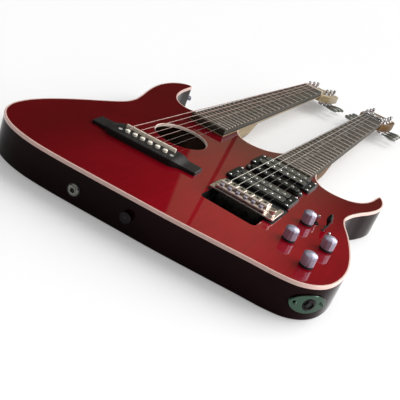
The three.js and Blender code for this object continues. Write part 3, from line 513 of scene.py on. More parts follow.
    def fit(self, name: str, finishes: Sequence["Finish"], slot: str, body: str = FIXED,
            nodes: Sequence[str] = (), sharp: float = 32, span: tuple[float, float] | None = None) -> None:
        """Makes the Blender object and settles it, with what those two steps take."""
        settle(self.build(name, finishes, sharp), body, nodes, span)


def smooth(mesh: bpy.types.Mesh, sharp: float) -> None:
    """Shades a mesh smooth between its sharp edges, and its wide flat faces flat.

    Args:
        mesh: The mesh.
        sharp: The angle in degrees past which an edge stays sharp.
    """
    mesh.shade_smooth()
    mesh.set_sharp_from_angle(angle=math.radians(sharp))
    for face in mesh.polygons:
        if len(face.vertices) > 4 or abs(face.normal.z) > LEVEL:
            face.use_smooth = False


def carve(piece: bpy.types.Object, cutters: Sequence[Shape], finishes: Sequence["Finish"]) -> None:
    """Cuts shapes out of a piece, and gives each cut the cutter's finish.

    Args:
        piece: The piece that is cut.
        cutters: The shapes that are taken away, one after another.
        finishes: The finishes of the cutters' slots.
    """
    tools = [cutter.build(f"cutter_{i}", finishes) for i, cutter in enumerate(cutters)]
    for tool in tools:
        cut = piece.modifiers.new(tool.name, "BOOLEAN")
        cut.operation = "DIFFERENCE"
        cut.solver = "EXACT"
        cut.material_mode = "TRANSFER"
        cut.object = tool
    bpy.context.view_layer.update()
    graph = bpy.context.evaluated_depsgraph_get()
    mesh = bpy.data.meshes.new_from_object(piece.evaluated_get(graph), depsgraph=graph)
    piece.modifiers.clear()
    smooth(mesh, CUT_SHARP)
    piece.data = mesh
    for tool in tools:
        bpy.data.objects.remove(tool)


def settle(piece: bpy.types.Object, body: str = FIXED, nodes: Sequence[str] = (),
           span: tuple[float, float] | None = None) -> None:
    """Fastens a piece to its body and reports it.

    Args:
        piece: The piece.
        body: The body that it rides on.
        nodes: The nodes that it stands for.
        span: Where along the strings it goes over from the rocking bridge to the body, if it joins them.
    """
    if span:
        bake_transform(piece)
    else:
        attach(piece, body)
    if nodes:
        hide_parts(*nodes)
    LOG.info("%s: %d faces on %s", piece.name, len(piece.data.polygons), body)


def linear(colour: str) -> tuple[float, float, float, float]:
    """Turns an sRGB hex colour into a linear one.

    Args:
        colour: Six hex digits after a hash.

    Returns:
        Red, green, blue and an alpha of 1.
    """
    parts = [int(colour[i : i + 2], 16) / 255 for i in (1, 3, 5)]
    r, g, b = (p / 12.92 if p <= 0.04045 else ((p + 0.055) / 1.055) ** 2.4 for p in parts)
    return r, g, b, 1.0


def per(size: float) -> float:
    """Returns a texture's scale for lumps or lines of a size in millimetres."""
    return 1 / (size * MM)


def add_node(tree: bpy.types.NodeTree, kind: str, settings: dict | None = None, links: dict | None = None,
             stops: Sequence[tuple[float, str]] = ()) -> bpy.types.Node:
    """Adds a shader node with its settings and links.

    Args:
        tree: The tree that the node goes into.
        kind: The node's Blender type, without its prefix.
        settings: Values of its properties, or of its inputs by name or number.
        links: What feeds its inputs, by name or number: a socket, or a node for its first output.
        stops: Places from 0 to 1 with their hex colours, for a node that has them.

    Returns:
        The node.
    """
    node = tree.nodes.new("ShaderNode" + kind)
    for key, value in (settings or {}).items():
        if isinstance(key, str) and hasattr(node, key):
            setattr(node, key, value)
        else:
            node.inputs[key].default_value = value
    for key, source in (links or {}).items():
        socket = source.outputs[0] if isinstance(source, bpy.types.Node) else source
        tree.links.new(socket, node.inputs[key])
    for i, (position, colour) in enumerate(stops):
        elements = node.color_ramp.elements
        element = elements[i] if i < 2 else elements.new(position)
        element.position, element.color = position, linear(colour)
    return node


@dataclass(frozen=True)
class Finish:
    """A real material and how its surface was made."""

    name: str
    colour: str
    roughness: float
    metallic: float = 0.0
    ior: float = 1.5
    coat: float = 0.0

    def material(self) -> bpy.types.Material:
        """Makes the Blender material the first time, and finds it after that.

        Returns:
            The material.
        """
        found = bpy.data.materials.get(self.name)
        if found:
            return found
        made = bpy.data.materials.new(self.name)
        made.use_nodes = True
        made.diffuse_color = linear(self.colour)
        values = {"Base Color": linear(self.colour), "Roughness": self.roughness, "Metallic": self.metallic,
                  "Coat Weight": self.coat}
        if self.metallic < METALLIC_FROM:
            values["IOR"] = self.ior
        shader = made.node_tree.nodes["Principled BSDF"]
        for key, value in values.items():
            shader.inputs[key].default_value = value
        self.dress(made.node_tree, shader)
        return made

    def dress(self, tree: bpy.types.NodeTree, shader: bpy.types.Node) -> None:
        """Adds what varies over the surface, which for a plain finish is nothing."""


@dataclass(frozen=True)
class Lacquer(Finish):
    """Translucent lacquer sprayed and buffed over grained wood, whose figure glows through it."""

    deep: str = "#850513"
    pale: str = "#9C0A1D"
    wave: float = 0.02
    # The painted shade: how dark it grows, the lit middle that it darkens away from, and where it starts and
    # ends
    shade: float = 0.62
    figure: float = 2.4
    cloud: float = 110
    swell: float = 40
    lit_middle: tuple[float, float, float] = (90, -60, TOP)
    lit_reach: float = 30
    shaded_reach: float = 250

    def dress(self, tree: bpy.types.NodeTree, shader: bpy.types.Node) -> None:
        """Adds faint grain lines, painted shade that darkens the red away from a lit middle, and the waves of
        buffing.

        Args:
            tree: The material's nodes.
            shader: Its surface shader.
        """
        own = add_node(tree, "TexCoord").outputs["Object"]
        along = add_node(tree, "Mapping", {"Scale": (1, 0.05, 1)}, {"Vector": own})
        grain = add_node(tree, "TexNoise", {"Scale": per(self.figure), "Detail": 5}, {"Vector": along})
        cloud = add_node(tree, "TexNoise", {"Scale": per(self.cloud), "Detail": 2}, {"Vector": own})
        both = add_node(tree, "Mix", {"Factor": 0.4}, {2: cloud, 3: grain})
        stops = ((0.3, self.deep), (0.7, self.pale), (0.5, self.colour))
        ramp = add_node(tree, "ValToRGB", links={0: both}, stops=stops)
        # Painted shade: the red darkens away from a lit middle, as it would round a pool of light
        middle = {"operation": "DISTANCE", 1: Vector(self.lit_middle) * MM}
        away = add_node(tree, "VectorMath", middle, {0: own}).outputs["Value"]
        reach = {1: self.lit_reach * MM, 2: self.shaded_reach * MM, 4: self.shade}
        shade_mask = add_node(tree, "MapRange", reach, {0: away})
        dim = {"data_type": "RGBA", "blend_type": "MULTIPLY", 7: (0.0, 0.0, 0.0, 1.0)}
        coat = add_node(tree, "Mix", dim, {0: shade_mask, 6: ramp})
        tree.links.new(coat.outputs[2], shader.inputs["Base Color"])
        swell = add_node(tree, "TexNoise", {"Scale": per(self.swell), "Detail": 1}, {"Vector": own})
        bump = add_node(tree, "Bump", {"Distance": self.wave * MM, "Strength": 0.5}, {"Height": swell})
        tree.links.new(bump.outputs[0], shader.inputs["Normal"])


@dataclass(frozen=True)
class Timber(Finish):
    """Planed and sanded wood. Its grain runs along the necks."""

    dark: str = "#8A6A45"
    pale: str = "#CDB287"
    grain: float = 1.4
    depth: float = 0.04
    band_share: float = 8
    sheen: Flat = (-0.07, 0.1)

    def dress(self, tree: bpy.types.NodeTree, shader: bpy.types.Node) -> None:
        """Adds long grain, broad bands of growth and fine pores.

        Args:
            tree: The material's nodes.
            shader: Its surface shader.
        """
        own = add_node(tree, "TexCoord").outputs["Object"]
        along = add_node(tree, "Mapping", {"Scale": (1, 0.06, 1)}, {"Vector": own})
        fine = add_node(tree, "TexNoise", {"Scale": per(self.grain), "Detail": 6}, {"Vector": along})
        bands = {"Scale": per(self.grain * self.band_share), "Detail": 2}
        broad = add_node(tree, "TexNoise", bands, {"Vector": along})
        both = add_node(tree, "Mix", {"Factor": 0.5}, {2: broad, 3: fine})
        stops = ((0.32, self.dark), (0.68, self.pale), (0.5, self.colour))
        ramp = add_node(tree, "ValToRGB", links={0: both}, stops=stops)
        tree.links.new(ramp.outputs[0], shader.inputs["Base Color"])
        low, high = (self.roughness + change for change in self.sheen)
        sheen = add_node(tree, "MapRange", {3: low, 4: high}, {0: fine})
        tree.links.new(sheen.outputs[0], shader.inputs["Roughness"])
        bump = add_node(tree, "Bump", {"Distance": self.depth * MM, "Strength": 0.6}, {"Height": fine})
        tree.links.new(bump.outputs[0], shader.inputs["Normal"])


@dataclass(frozen=True)
class Plated(Finish):
    """Polished plate over cast or drawn metal. Handling dulls it in places."""

    wear: float = 1
    patch: float = 7

    def dress(self, tree: bpy.types.NodeTree, shader: bpy.types.Node) -> None:
        """Adds the faint dull patches that handling leaves.

        Args:
            tree: The material's nodes.
            shader: Its surface shader.
        """
        own = add_node(tree, "TexCoord").outputs["Object"]
        marks = add_node(tree, "TexNoise", {"Scale": per(self.patch), "Detail": 5}, {"Vector": own})
        low, high = self.roughness * (1 - 0.5 * self.wear), self.roughness * (1 + 0.7 * self.wear)
        dull = add_node(tree, "MapRange", {3: low, 4: high}, {0: marks})
        tree.links.new(dull.outputs[0], shader.inputs["Roughness"])


@dataclass(frozen=True)
class Moulded(Finish):
    """A moulded or pressed material with a fine even grain."""

    grain: float = 0.8
    depth: float = 0.03
    sheen: Flat = (-0.05, 0.12)

    def dress(self, tree: bpy.types.NodeTree, shader: bpy.types.Node) -> None:
        """Adds the mould's grain and its uneven sheen.

        Args:
            tree: The material's nodes.
            shader: Its surface shader.
        """
        own = add_node(tree, "TexCoord").outputs["Object"]
        # The real grain is 0.1 mm, drawn coarser here so that it shows.
        speck = add_node(tree, "TexNoise", {"Scale": per(self.grain), "Detail": 3}, {"Vector": own})
        low, high = (self.roughness + change for change in self.sheen)
        sheen = add_node(tree, "MapRange", {3: low, 4: high}, {0: speck})
        tree.links.new(sheen.outputs[0], shader.inputs["Roughness"])
        bump = add_node(tree, "Bump", {"Distance": self.depth * MM, "Strength": 0.6}, {"Height": speck})
        tree.links.new(bump.outputs[0], shader.inputs["Normal"])


@dataclass(frozen=True)
class Pearl(Finish):
    """Shell laminate, cut and polished flush. Pale colours drift through it."""

    green: str = "#B9C4C0"
    rose: str = "#DDCDD2"
    drift: float = 3

    def dress(self, tree: bpy.types.NodeTree, shader: bpy.types.Node) -> None:
        """Adds the drifting colours.

        Args:
            tree: The material's nodes.
            shader: Its surface shader.
        """
        own = add_node(tree, "TexCoord").outputs["Object"]
        drift = add_node(tree, "TexNoise", {"Scale": per(self.drift), "Detail": 3}, {"Vector": own})
        stops = ((0.35, self.green), (0.65, self.rose), (0.5, self.colour))
        ramp = add_node(tree, "ValToRGB", links={0: drift}, stops=stops)
        tree.links.new(ramp.outputs[0], shader.inputs["Base Color"])


@dataclass(frozen=True)
class WoundWire(Finish):
    """A steel core wound with round wire, whose turns catch the light as fine cross lines."""

    pitch: float = 0.9
    depth: float = 0.12

    def dress(self, tree: bpy.types.NodeTree, shader: bpy.types.Node) -> None:
        """Adds the turns of the winding.

        Args:
            tree: The material's nodes.
            shader: Its surface shader.
        """
        own = add_node(tree, "TexCoord").outputs["Object"]
        # The real turns are 0.25 mm apart, drawn 0.9 mm apart here so that they show.
        settings = {"wave_type": "BANDS", "bands_direction": "Y", "Scale": per(self.pitch) / math.tau}
        turns = add_node(tree, "TexWave", settings, {"Vector": own}).outputs["Fac"]
        bump = add_node(tree, "Bump", {"Distance": self.depth * MM, "Strength": 0.6}, {"Height": turns})
        tree.links.new(bump.outputs[0], shader.inputs["Normal"])


# Mirror-like red with the wood's figure under it, and painted shade that darkens it away from a lit middle
RED_LACQUER = Lacquer("red_translucent_lacquer_buffed", "#91071A", 0.025)
# A deep wine colour that reads as black, with soft reflections
DARK_LACQUER = Lacquer("wine_black_lacquer_buffed", "#1A0709", 0.06, ior=1.13, deep="#130506", pale="#22090C",
                       shade=0)
# A pale edge line with a soft shine
CELLULOID = Moulded("cream_celluloid_scraped", "#E3BEB3", 0.32, depth=0.01, coat=0.3)
# Warm pale wood with a soft shine
MAPLE = Timber("maple_oiled", "#9C8660", 0.4, dark="#776245", pale="#B49F78", grain=1.1, depth=0.02)
# Brown maple, darker than the other neck's: painted shade over the electric neck
SHADED_MAPLE = Timber("maple_oiled_painted_shade", "#684A26", 0.5, ior=1.22, dark="#523C25", pale="#80613F",
                      grain=1.1, depth=0.02)
# Dark brown wood with open pores
ROSEWOOD = Timber("rosewood_oiled", "#40392E", 0.5, ior=1.32, dark="#2E2921", pale="#544B3E", grain=1.0,
                  depth=0.06)
# The pale raw edge of the soundhole
SPRUCE = Timber("spruce_sanded", "#FAE6DA", 0.6, dark="#E6CCBE", pale="#FFF0E4", grain=1.2)
# Raw brown wood inside the body
MAHOGANY = Timber("mahogany_routed", "#3E2616", 0.75, dark="#28180E", pale="#523420", grain=1.6)
# Near-black wood with a fine grain
EBONISED = Timber("hardwood_ebonised", "#1B1718", 0.46, ior=1.34, dark="#141112", pale="#242021", grain=0.9,
                   depth=0.05)
# Flat black that hides the routs. It also draws holes, slots and gaps as flat black shapes: painted shade in
# place of their dark insides
BLACK_PAINT_AND_SHADE = Moulded("black_paint_brushed", "#0B0A0B", 0.6)
# Cream with a soft polish
BONE = Moulded("bone_polished", "#FBF0DC", 0.35, depth=0.01)
# Cream and shiny
PIN_PLASTIC = Moulded("cream_plastic_turned", "#FFF8E8", 0.25, depth=0.005, coat=0.3)
# Bright mirrors with dark lines where they turn away
CHROME = Plated("chrome_plated_polished", "#CFCCCE", 0.12, 1.0)
# Soft broad streaks of light over a cool grey, instead of mirror images
SATIN_CHROME = Plated("chrome_plated_satin", "#A9A5B8", 0.34, 0.6, wear=0.1)
# Warm silver that stays bright as it turns
SADDLE_STEEL = Plated("steel_nickel_plated_brushed", "#D6C8BE", 0.28, 1.0)
# Nearly black, with one small highlight
BLACK_CHROME = Plated("black_chrome_plated", "#242022", 0.18, 1.0)
# Dark grey with a small bright spot
SMOKED_NICKEL = Plated("nickel_plated_smoked", "#7C7C76", 0.2, 1.0)
# Green-grey metal with soft mirror images
OLIVE_ZINC = Plated("steel_zinc_plated_olive", "#42564A", 0.16, 1.0, wear=0.5)
# A softer and warmer shine than chrome
NICKEL = Plated("nickel_plated_satin", "#B5B0A8", 0.24, 1.0)
# Warm grey lines that shine along their crowns
FRET_WIRE = Plated("nickel_silver_wire_dressed", "#B3A79E", 0.38, 1.0)
# Dark grey metal with a low shine. Its dark bars also draw screw crosses and hollows: painted shade in place
# of cuts
BLACK_STEEL_AND_SHADE = Plated("steel_black_oxide", "#3A3A3D", 0.35, 0.85)
# Thin bright lines
PLAIN_WIRE = Plated("steel_wire_tinned", "#6F6B68", 0.3, 1.0)
# Pale lines with fine cross marks
NICKEL_WIRE = WoundWire("nickel_wire_wound", "#A8A39D", 0.42, 1.0)
# Warm pale lines with fine cross marks
BRONZE_WIRE = WoundWire("bronze_wire_wound", "#A08680", 0.42, 1.0)
# Black with a soft shine
BLACK_ABS = Moulded("black_abs_moulded", "#0C0C0B", 0.3, ior=1.3)
# Black plastic painted a warm grey: painted sheen on the coils' faces, where the light falls on them
LIT_FACE_ABS = Moulded("black_abs_painted_sheen", "#3A3832", 0.4, coat=0.3)
# Black with a fine grain and little shine
BLACK_SHEET = Moulded("black_sheet_pressed", "#1A1A1B", 0.5, grain=1.4)
# Pale spots that change a little across their width
PEARL = Pearl("pearl_laminate_polished", "#BDBCB8", 0.25, coat=0.3)
# The same shell under years of play, hardly paler than the wood round it
WORN_PEARL = Finish("pearl_laminate_worn", "#85847A", 0.4)
# Black with no shine: felt under the knobs, which also stands in for the shade there as painted shade
FELT_AND_SHADE = Moulded("black_felt_pressed", "#141214", 0.85, grain=0.6, depth=0.15)


@dataclass
class Body:
    """The chambered body with its top, binding, routs and back covers."""

    width: float = 432
    length: float = 446
    seat: float = 40
    step: float = 3.2
    skin: float = 0.3
    tip_reach: float = 7
    binding: float = 2.2
    binding_edge: float = 0.8
    back_edge: float = 1.6
    soundhole: Flat = (-68, 69)
    soundhole_radius: float = 36.5
    rim: float = 0.7
    chamber: Flat = (146, 214)
    chamber_middle: Flat = (-73, 2)
    chamber_corner: float = 48
    chamber_floor: float = 6
    pocket_floor: float = 20
    pocket_half: float = 28.8
    pocket_front: float = 260
    electric_pocket: float = 156.7
    acoustic_pocket: float = 143.7
    above: float = 60
    pickup_rout: Flat = (73, 41)
    single_rout: Flat = (84.6, 18.6)
    pickup_floor: float = 24
    tremolo_rout: Flat = (72, 57.5)
    tremolo_rout_middle: Flat = (ELECTRIC_X, -30.25)
    tremolo_floor: float = 31
    control_depth: float = 32
    spring_low: Flat = (35, -48)
    spring_high: Flat = (101, 118)
    spring_depth: float = 17
    slot_front: float = -1.5
    slot_span: Flat = (8, 33)
    # A shallow black recess round the rocking bridge: painted shade in place of the shadow round its plate
    recess: float = 1.2
    shade_recess_size: Flat = (88, 60)
    shade_recess_middle: Flat = (ELECTRIC_X + 3.5, -3)
    cover: Flat = (84, 186)
    cover_middle: Flat = (ELECTRIC_X, 34)
    cover_corner: float = 8
    cover_gap: float = 0.3
    cover_recess: float = 2.6
    cover_thickness: float = 2
    cover_screws: Flat = (37, 88)
    control_lap: float = 4.5
    control_step: float = 2.5
    outline: list[Flat] = field(init=False)
    lengths: dict[str, list[int]] = field(init=False)

    def __post_init__(self) -> None:
        """Draws the outline once, with its horns' tips and the corners at the necks eased."""
        runs = [self.run(table) for table in (OUTER_RUN, TREBLE_CUTAWAY, VALLEY, BASS_CUTAWAY)]
        runs[1] = runs[1][1:]
        corners = [run[i] for run in runs for i in (0, -1)]
        points: list[Flat] = []
        marks = []
        for run, after in zip(runs, runs[1:] + runs[:1]):
            marks.append((len(points), len(points) + len(run)))
            gap = max(1, round(math.dist(run[-1], after[0]) / self.step))
            points += run + between(run[-1], after[0], gap, 1)
        self.lengths = {
            "body_binding": [*range(marks[3][0], len(points)), *range(marks[1][1])],
            "valley_binding": [*range(*marks[2])],
        }
        for _ in range(6):
            points = [eased(points, i) if min(math.dist(p, c) for c in corners) < self.tip_reach else p
                      for i, p in enumerate(points)]
        self.outline = inset(points, self.skin)

    def run(self, table: Sequence[Flat]) -> list[Flat]:
        """Returns one run of the outline in millimetres."""
        return centripetal([(x * self.width, y * self.length) for x, y in table], self.step)

    @property
    def bridge_hole(self) -> list[Flat]:
        """The outline of the hole under the rocking bridge."""
        return rounded(*self.tremolo_rout, 6, self.tremolo_rout_middle)

    def build(self) -> None:
        """Makes every piece of the body."""
        self.build_shell()
        self.build_top()
        self.build_binding()
        self.build_covers()

    def build_shell(self) -> None:
        """Makes the sides and back with the chamber and the routs."""
        rings = slab(self.outline, 0, self.seat, self.back_edge, 5, over=False)
        shell = Shape().loft(rings).build("body_shell", [DARK_LACQUER])
        wood, paint, lacquer = range(3)
        under, gap = -1, self.cover_gap
        chamber = rounded(*self.chamber, self.chamber_corner, self.chamber_middle, 12)
        deep = Shape().loft(slab(chamber, self.chamber_floor, self.seat + 2), wood)
        self.cut_pockets(deep, wood)
        deep.loft(slab(self.bridge_hole, self.tremolo_floor, self.seat + 2), paint)
        controls = [(x + ELECTRIC_X, y) for x, y in CONTROL_ROUT]
        deep.loft(slab(controls, under, self.control_depth), paint)
        low, high = self.slot_span
        slot = Shape().box((*self.spring_low, low), (self.spring_high[0], self.slot_front, high), 0, paint)
        springs = Shape().box((*self.spring_low, under), (*self.spring_high, self.spring_depth), 0, paint)
        cover = rounded(*(size + 2 * gap for size in self.cover), self.cover_corner + gap, self.cover_middle)
        recess = Shape().loft(slab(cover, under, self.cover_recess), lacquer)
        recess.loft(slab(inset(self.control_cover(), -gap), under, self.cover_recess), lacquer)
        carve(shell, [deep, slot, springs, recess], [MAHOGANY, BLACK_PAINT_AND_SHADE, DARK_LACQUER])
        settle(shell, nodes=["body_core"])

    def cut_pockets(self, cutter: Shape, slot: int) -> None:
        """Adds the two neck pockets and the pickup routs to a cutter.

        Args:
            cutter: The shape that they are added to.
            slot: Which of its finishes they take.
        """
        for x, end in ((ELECTRIC_X, self.electric_pocket), (ACOUSTIC_X, self.acoustic_pocket)):
            low = (x - self.pocket_half, end, self.pocket_floor)
            cutter.box(low, (x + self.pocket_half, self.pocket_front, self.above), 0, slot)
        half, deep = (size / 2 for size in self.pickup_rout)
        for y in (BRIDGE_PICKUP_Y, NECK_PICKUP_Y):
            low = (ELECTRIC_X - half, y - deep, self.pickup_floor)
            cutter.box(low, (ELECTRIC_X + half, y + deep, self.above), 0, 1)
        single = rounded(*self.single_rout, 9, (ELECTRIC_X, MIDDLE_PICKUP_Y))
        cutter.loft(slab(single, self.pickup_floor, self.above), 1)

    def build_top(self) -> None:
        """Makes the lacquered top with its soundhole and its routs."""
        edge = inset(self.outline, self.binding)
        top = Shape().loft(slab(edge, self.seat, TOP)).build("body_top_plate", [RED_LACQUER])
        wood, paint = range(2)
        proud = 0.6
        bevel = ((0, self.seat - 2), (0, TOP - self.rim), (self.rim + proud, TOP + proud))
        holes = Shape().loft([lift(circle(self.soundhole_radius + flare, 96, self.soundhole), z)
                              for flare, z in bevel], wood)
        self.cut_pockets(holes, wood)
        holes.loft(slab(self.bridge_hole, self.tremolo_floor, self.above), paint)
        # The shallow black recess round the rocking bridge is painted shade in place of the shadow there
        recess = slab(rounded(*self.shade_recess_size, 4, self.shade_recess_middle), TOP - self.recess, self.above)
        carve(top, [holes, Shape().loft(recess, paint)], [SPRUCE, BLACK_PAINT_AND_SHADE])
        settle(top, nodes=["body_top"])

    def build_binding(self) -> None:
        """Makes the cream strip round the top's edge, in the two lengths that the necks leave."""
        e = self.binding_edge
        corner = [(e * (1 - math.cos(a)), TOP - e * (1 - math.sin(a))) for a in (0, 0.5, 1.05, math.pi / 2)]
        section = [(0, self.seat), *corner, (self.binding, TOP), (self.binding, self.seat)]
        lines = [lift(inset(self.outline, distance), z) for distance, z in section]
        for name, places in self.lengths.items():
            strip = Shape().loft([[line[i] for line in lines] for i in places])
            strip.fit(f"{name}_strip", [CELLULOID], "cream_binding", nodes=[name])

    def control_cover(self) -> list[Flat]:
        """Draws the outline of the control cover, with its corners eased.

        Returns:
            The outline's points.
        """
        corners = inset([(x + ELECTRIC_X, y) for x, y in CONTROL_ROUT], -self.control_lap)
        points = []
        for a, b in zip(corners, corners[1:] + corners[:1]):
            points += between(a, b, max(1, round(math.dist(a, b) / self.control_step)))
        for _ in range(10):
            points = [eased(points, i) for i in range(len(points))]
        return points

    def build_covers(self) -> None:
        """Makes the two plastic covers in the back, with their screws."""
        high = self.cover_recess - self.cover_gap
        low = high - self.cover_thickness
        control = self.control_cover()
        middle, (across, along) = Vector(self.cover_middle), self.cover_screws
        screws = [middle + Vector((x, y)) for x in (-across, across) for y in (-along, 0, along)]
        covers = {
            "tremolo_cover": (rounded(*self.cover, self.cover_corner, self.cover_middle), screws),
            "control_cover": (control, inset(control, self.control_lap)[:: len(control) // 5]),
        }
        for name, (outline, places) in covers.items():
            plate = Shape().loft(slab(outline, low, high, 0.5))
            for x, y in places:
                plate.screw(3, 0.28, shift(x, y, low) @ spin("X", 180), (1, 2))
            plate.fit(f"{name}_plate", [BLACK_SHEET, CHROME, BLACK_STEEL_AND_SHADE], "cover_plastic", nodes=[name])

    def side_place(self, share: float, height: float) -> Matrix:
        """Finds a place on the side of the body.

        Args:
            share: Its share of the way round the outer run.
            height: Its height above the back.

        Returns:
            A frame with X along the side, Y up and Z out of the body.
        """
        run = self.run(OUTER_RUN)
        along = share * (len(run) - 1)
        i = int(along)
        point = Vector(run[i]).lerp(Vector(run[i + 1]), along - i)
        return side_frame(Vector(run[i + 2]) - Vector(run[i - 1]), point, height)


@dataclass
class FlatTopBridge:
    """The black bridge of the acoustic strings, with its saddle and pins."""

    centre: Flat = (-70.5, -19)
    slant: float = 4.5
    length: float = 148
    middle_length: float = 84
    middle_front: float = 17
    middle_tail: float = 18
    wing_front: float = 15
    wing_tail: float = 11
    height: float = 8
    end_height: float = 4.5
    saddle_y: float = 9
    saddle_length: float = 72
    saddle_rise: float = 4.6
    pin_y: float = -4
    pin_spacing: float = 10.8
    edge: float = 1.3
    ramp: float = 15
    taper: float = 1.2
    end_ease: float = 0.8
    hole_radius: float = 2.1
    hole_offset: float = 2.9
    saddle_low: float = 4.3
    saddle_half: float = 1.5
    dot_side: float = 36.8

    @property
    def place(self) -> Matrix:
        """The bridge's own frame."""
        return shift(*self.centre, TOP) @ spin("Z", self.slant)

    def section(self, x: float, inward: float = 0) -> Ring:
        """Draws the bridge's section across its length.

        Args:
            x: The distance from its middle.
            inward: How far its top corners draw in, for its rounded ends.

        Returns:
            The section's ring.
        """
        far = max(0.0, abs(x) - self.middle_length / 2)
        ease = smoothstep(min(1.0, far / self.ramp))
        taper = self.taper * far / (self.length / 2 - self.middle_length / 2) + inward
        front = self.middle_front + (self.wing_front - self.middle_front) * ease - taper
        tail = self.middle_tail + (self.wing_tail - self.middle_tail) * ease - taper
        height = self.height + (self.end_height - self.height) * ease - inward
        corner = [(1 - math.cos(a), height - self.edge * (1 - math.sin(a))) for a in quarter_turn(4)]
        above = [Vector((x, front - self.edge * c, z)) for c, z in corner]
        below = [Vector((x, -tail + self.edge * c, z)) for c, z in reversed(corner)]
        return [Vector((x, front, 0)), *above, *below, Vector((x, -tail, 0))]

    def build(self) -> None:
        """Makes the bridge, its saddle and its pins."""
        half, ease = self.length / 2, self.end_ease
        places = [-half + ease, *(-half + 2 + 2 * i for i in range(round(half) - 1)), half - ease]
        rings = [self.section(-half, ease), *(self.section(x) for x in places), self.section(half, ease)]
        bridge = Shape(self.place).loft(rings)
        for x in row_of_six(self.pin_spacing):
            seat = shift(x, self.pin_y + self.hole_offset, self.height)
            # A flat black disc by each pin: painted shade in place of the hole where the string goes in
            bridge.rod(self.hole_radius, -0.5, 0.02, 16, 1, seat)
        bridge.fit("flat_top_bridge", [EBONISED, BLACK_PAINT_AND_SHADE],
                   "black_wood", nodes=["acoustic_bridge"], sharp=40)
        half, top = self.saddle_length / 2, self.height + self.saddle_rise
        front, tail = self.saddle_y + self.saddle_half, self.saddle_y - self.saddle_half
        saddle = Shape(self.place).box((-half, tail, self.saddle_low), (half, front, top), 1.1)
        saddle.fit("bone_saddle", [BONE], "bone", nodes=["acoustic_saddle"])
        pins = Shape(self.place)
        for x in row_of_six(self.pin_spacing):
            self.add_pin(pins, x)
        pins.fit("bridge_pins", [PIN_PLASTIC], "bone")
        dots = Shape(self.place)
        dot = [(0, 7), (2.6, 7), (2.6, 8.06), (2.4, 8.1), (0, 8.1)]
        for side in Side:
            dots.turn(dot, 24, 0, shift(side.value * self.dot_side, self.pin_y))
        dots.fit("bridge_pearl_dots", [PEARL], "bone")

    def add_pin(self, pins: Shape, x: float) -> None:
        """Adds one turned pin with a tall round head.

        Args:
            pins: The shape that it is added to.
            x: Its distance from the bridge's middle.
        """
        profile = [(0, -2), (1.9, -2), (2.2, 0), (3.1, 0.1), (3.2, 0.6), (2.9, 0.9), (3.2, 1.6), (3.3, 2.4),
                   (3, 3), (2.2, 3.4), (1, 3.55), (0, 3.6)]
        pins.turn(profile, 24, 0, shift(x, self.pin_y, self.height))

    def string_start(self, index: int, radius: float) -> list[Vector]:
        """Finds where a string leaves its pin and crosses the saddle.

        Args:
            index: The string, from the thick side.
            radius: The string's radius.

        Returns:
            The string's first points, in the row frame.
        """
        x = row_of_six(self.pin_spacing)[index]
        top = self.height + self.saddle_rise + radius
        points = [(self.pin_y + 2.4, self.height - 1), (self.pin_y + 3.4, self.height + radius + 0.4),
                  (self.saddle_y - 1.4, top - 0.5), (self.saddle_y, top), (self.saddle_y + 1.5, top - 0.1)]
        return [self.place @ Vector((x, y, z)) for y, z in points]


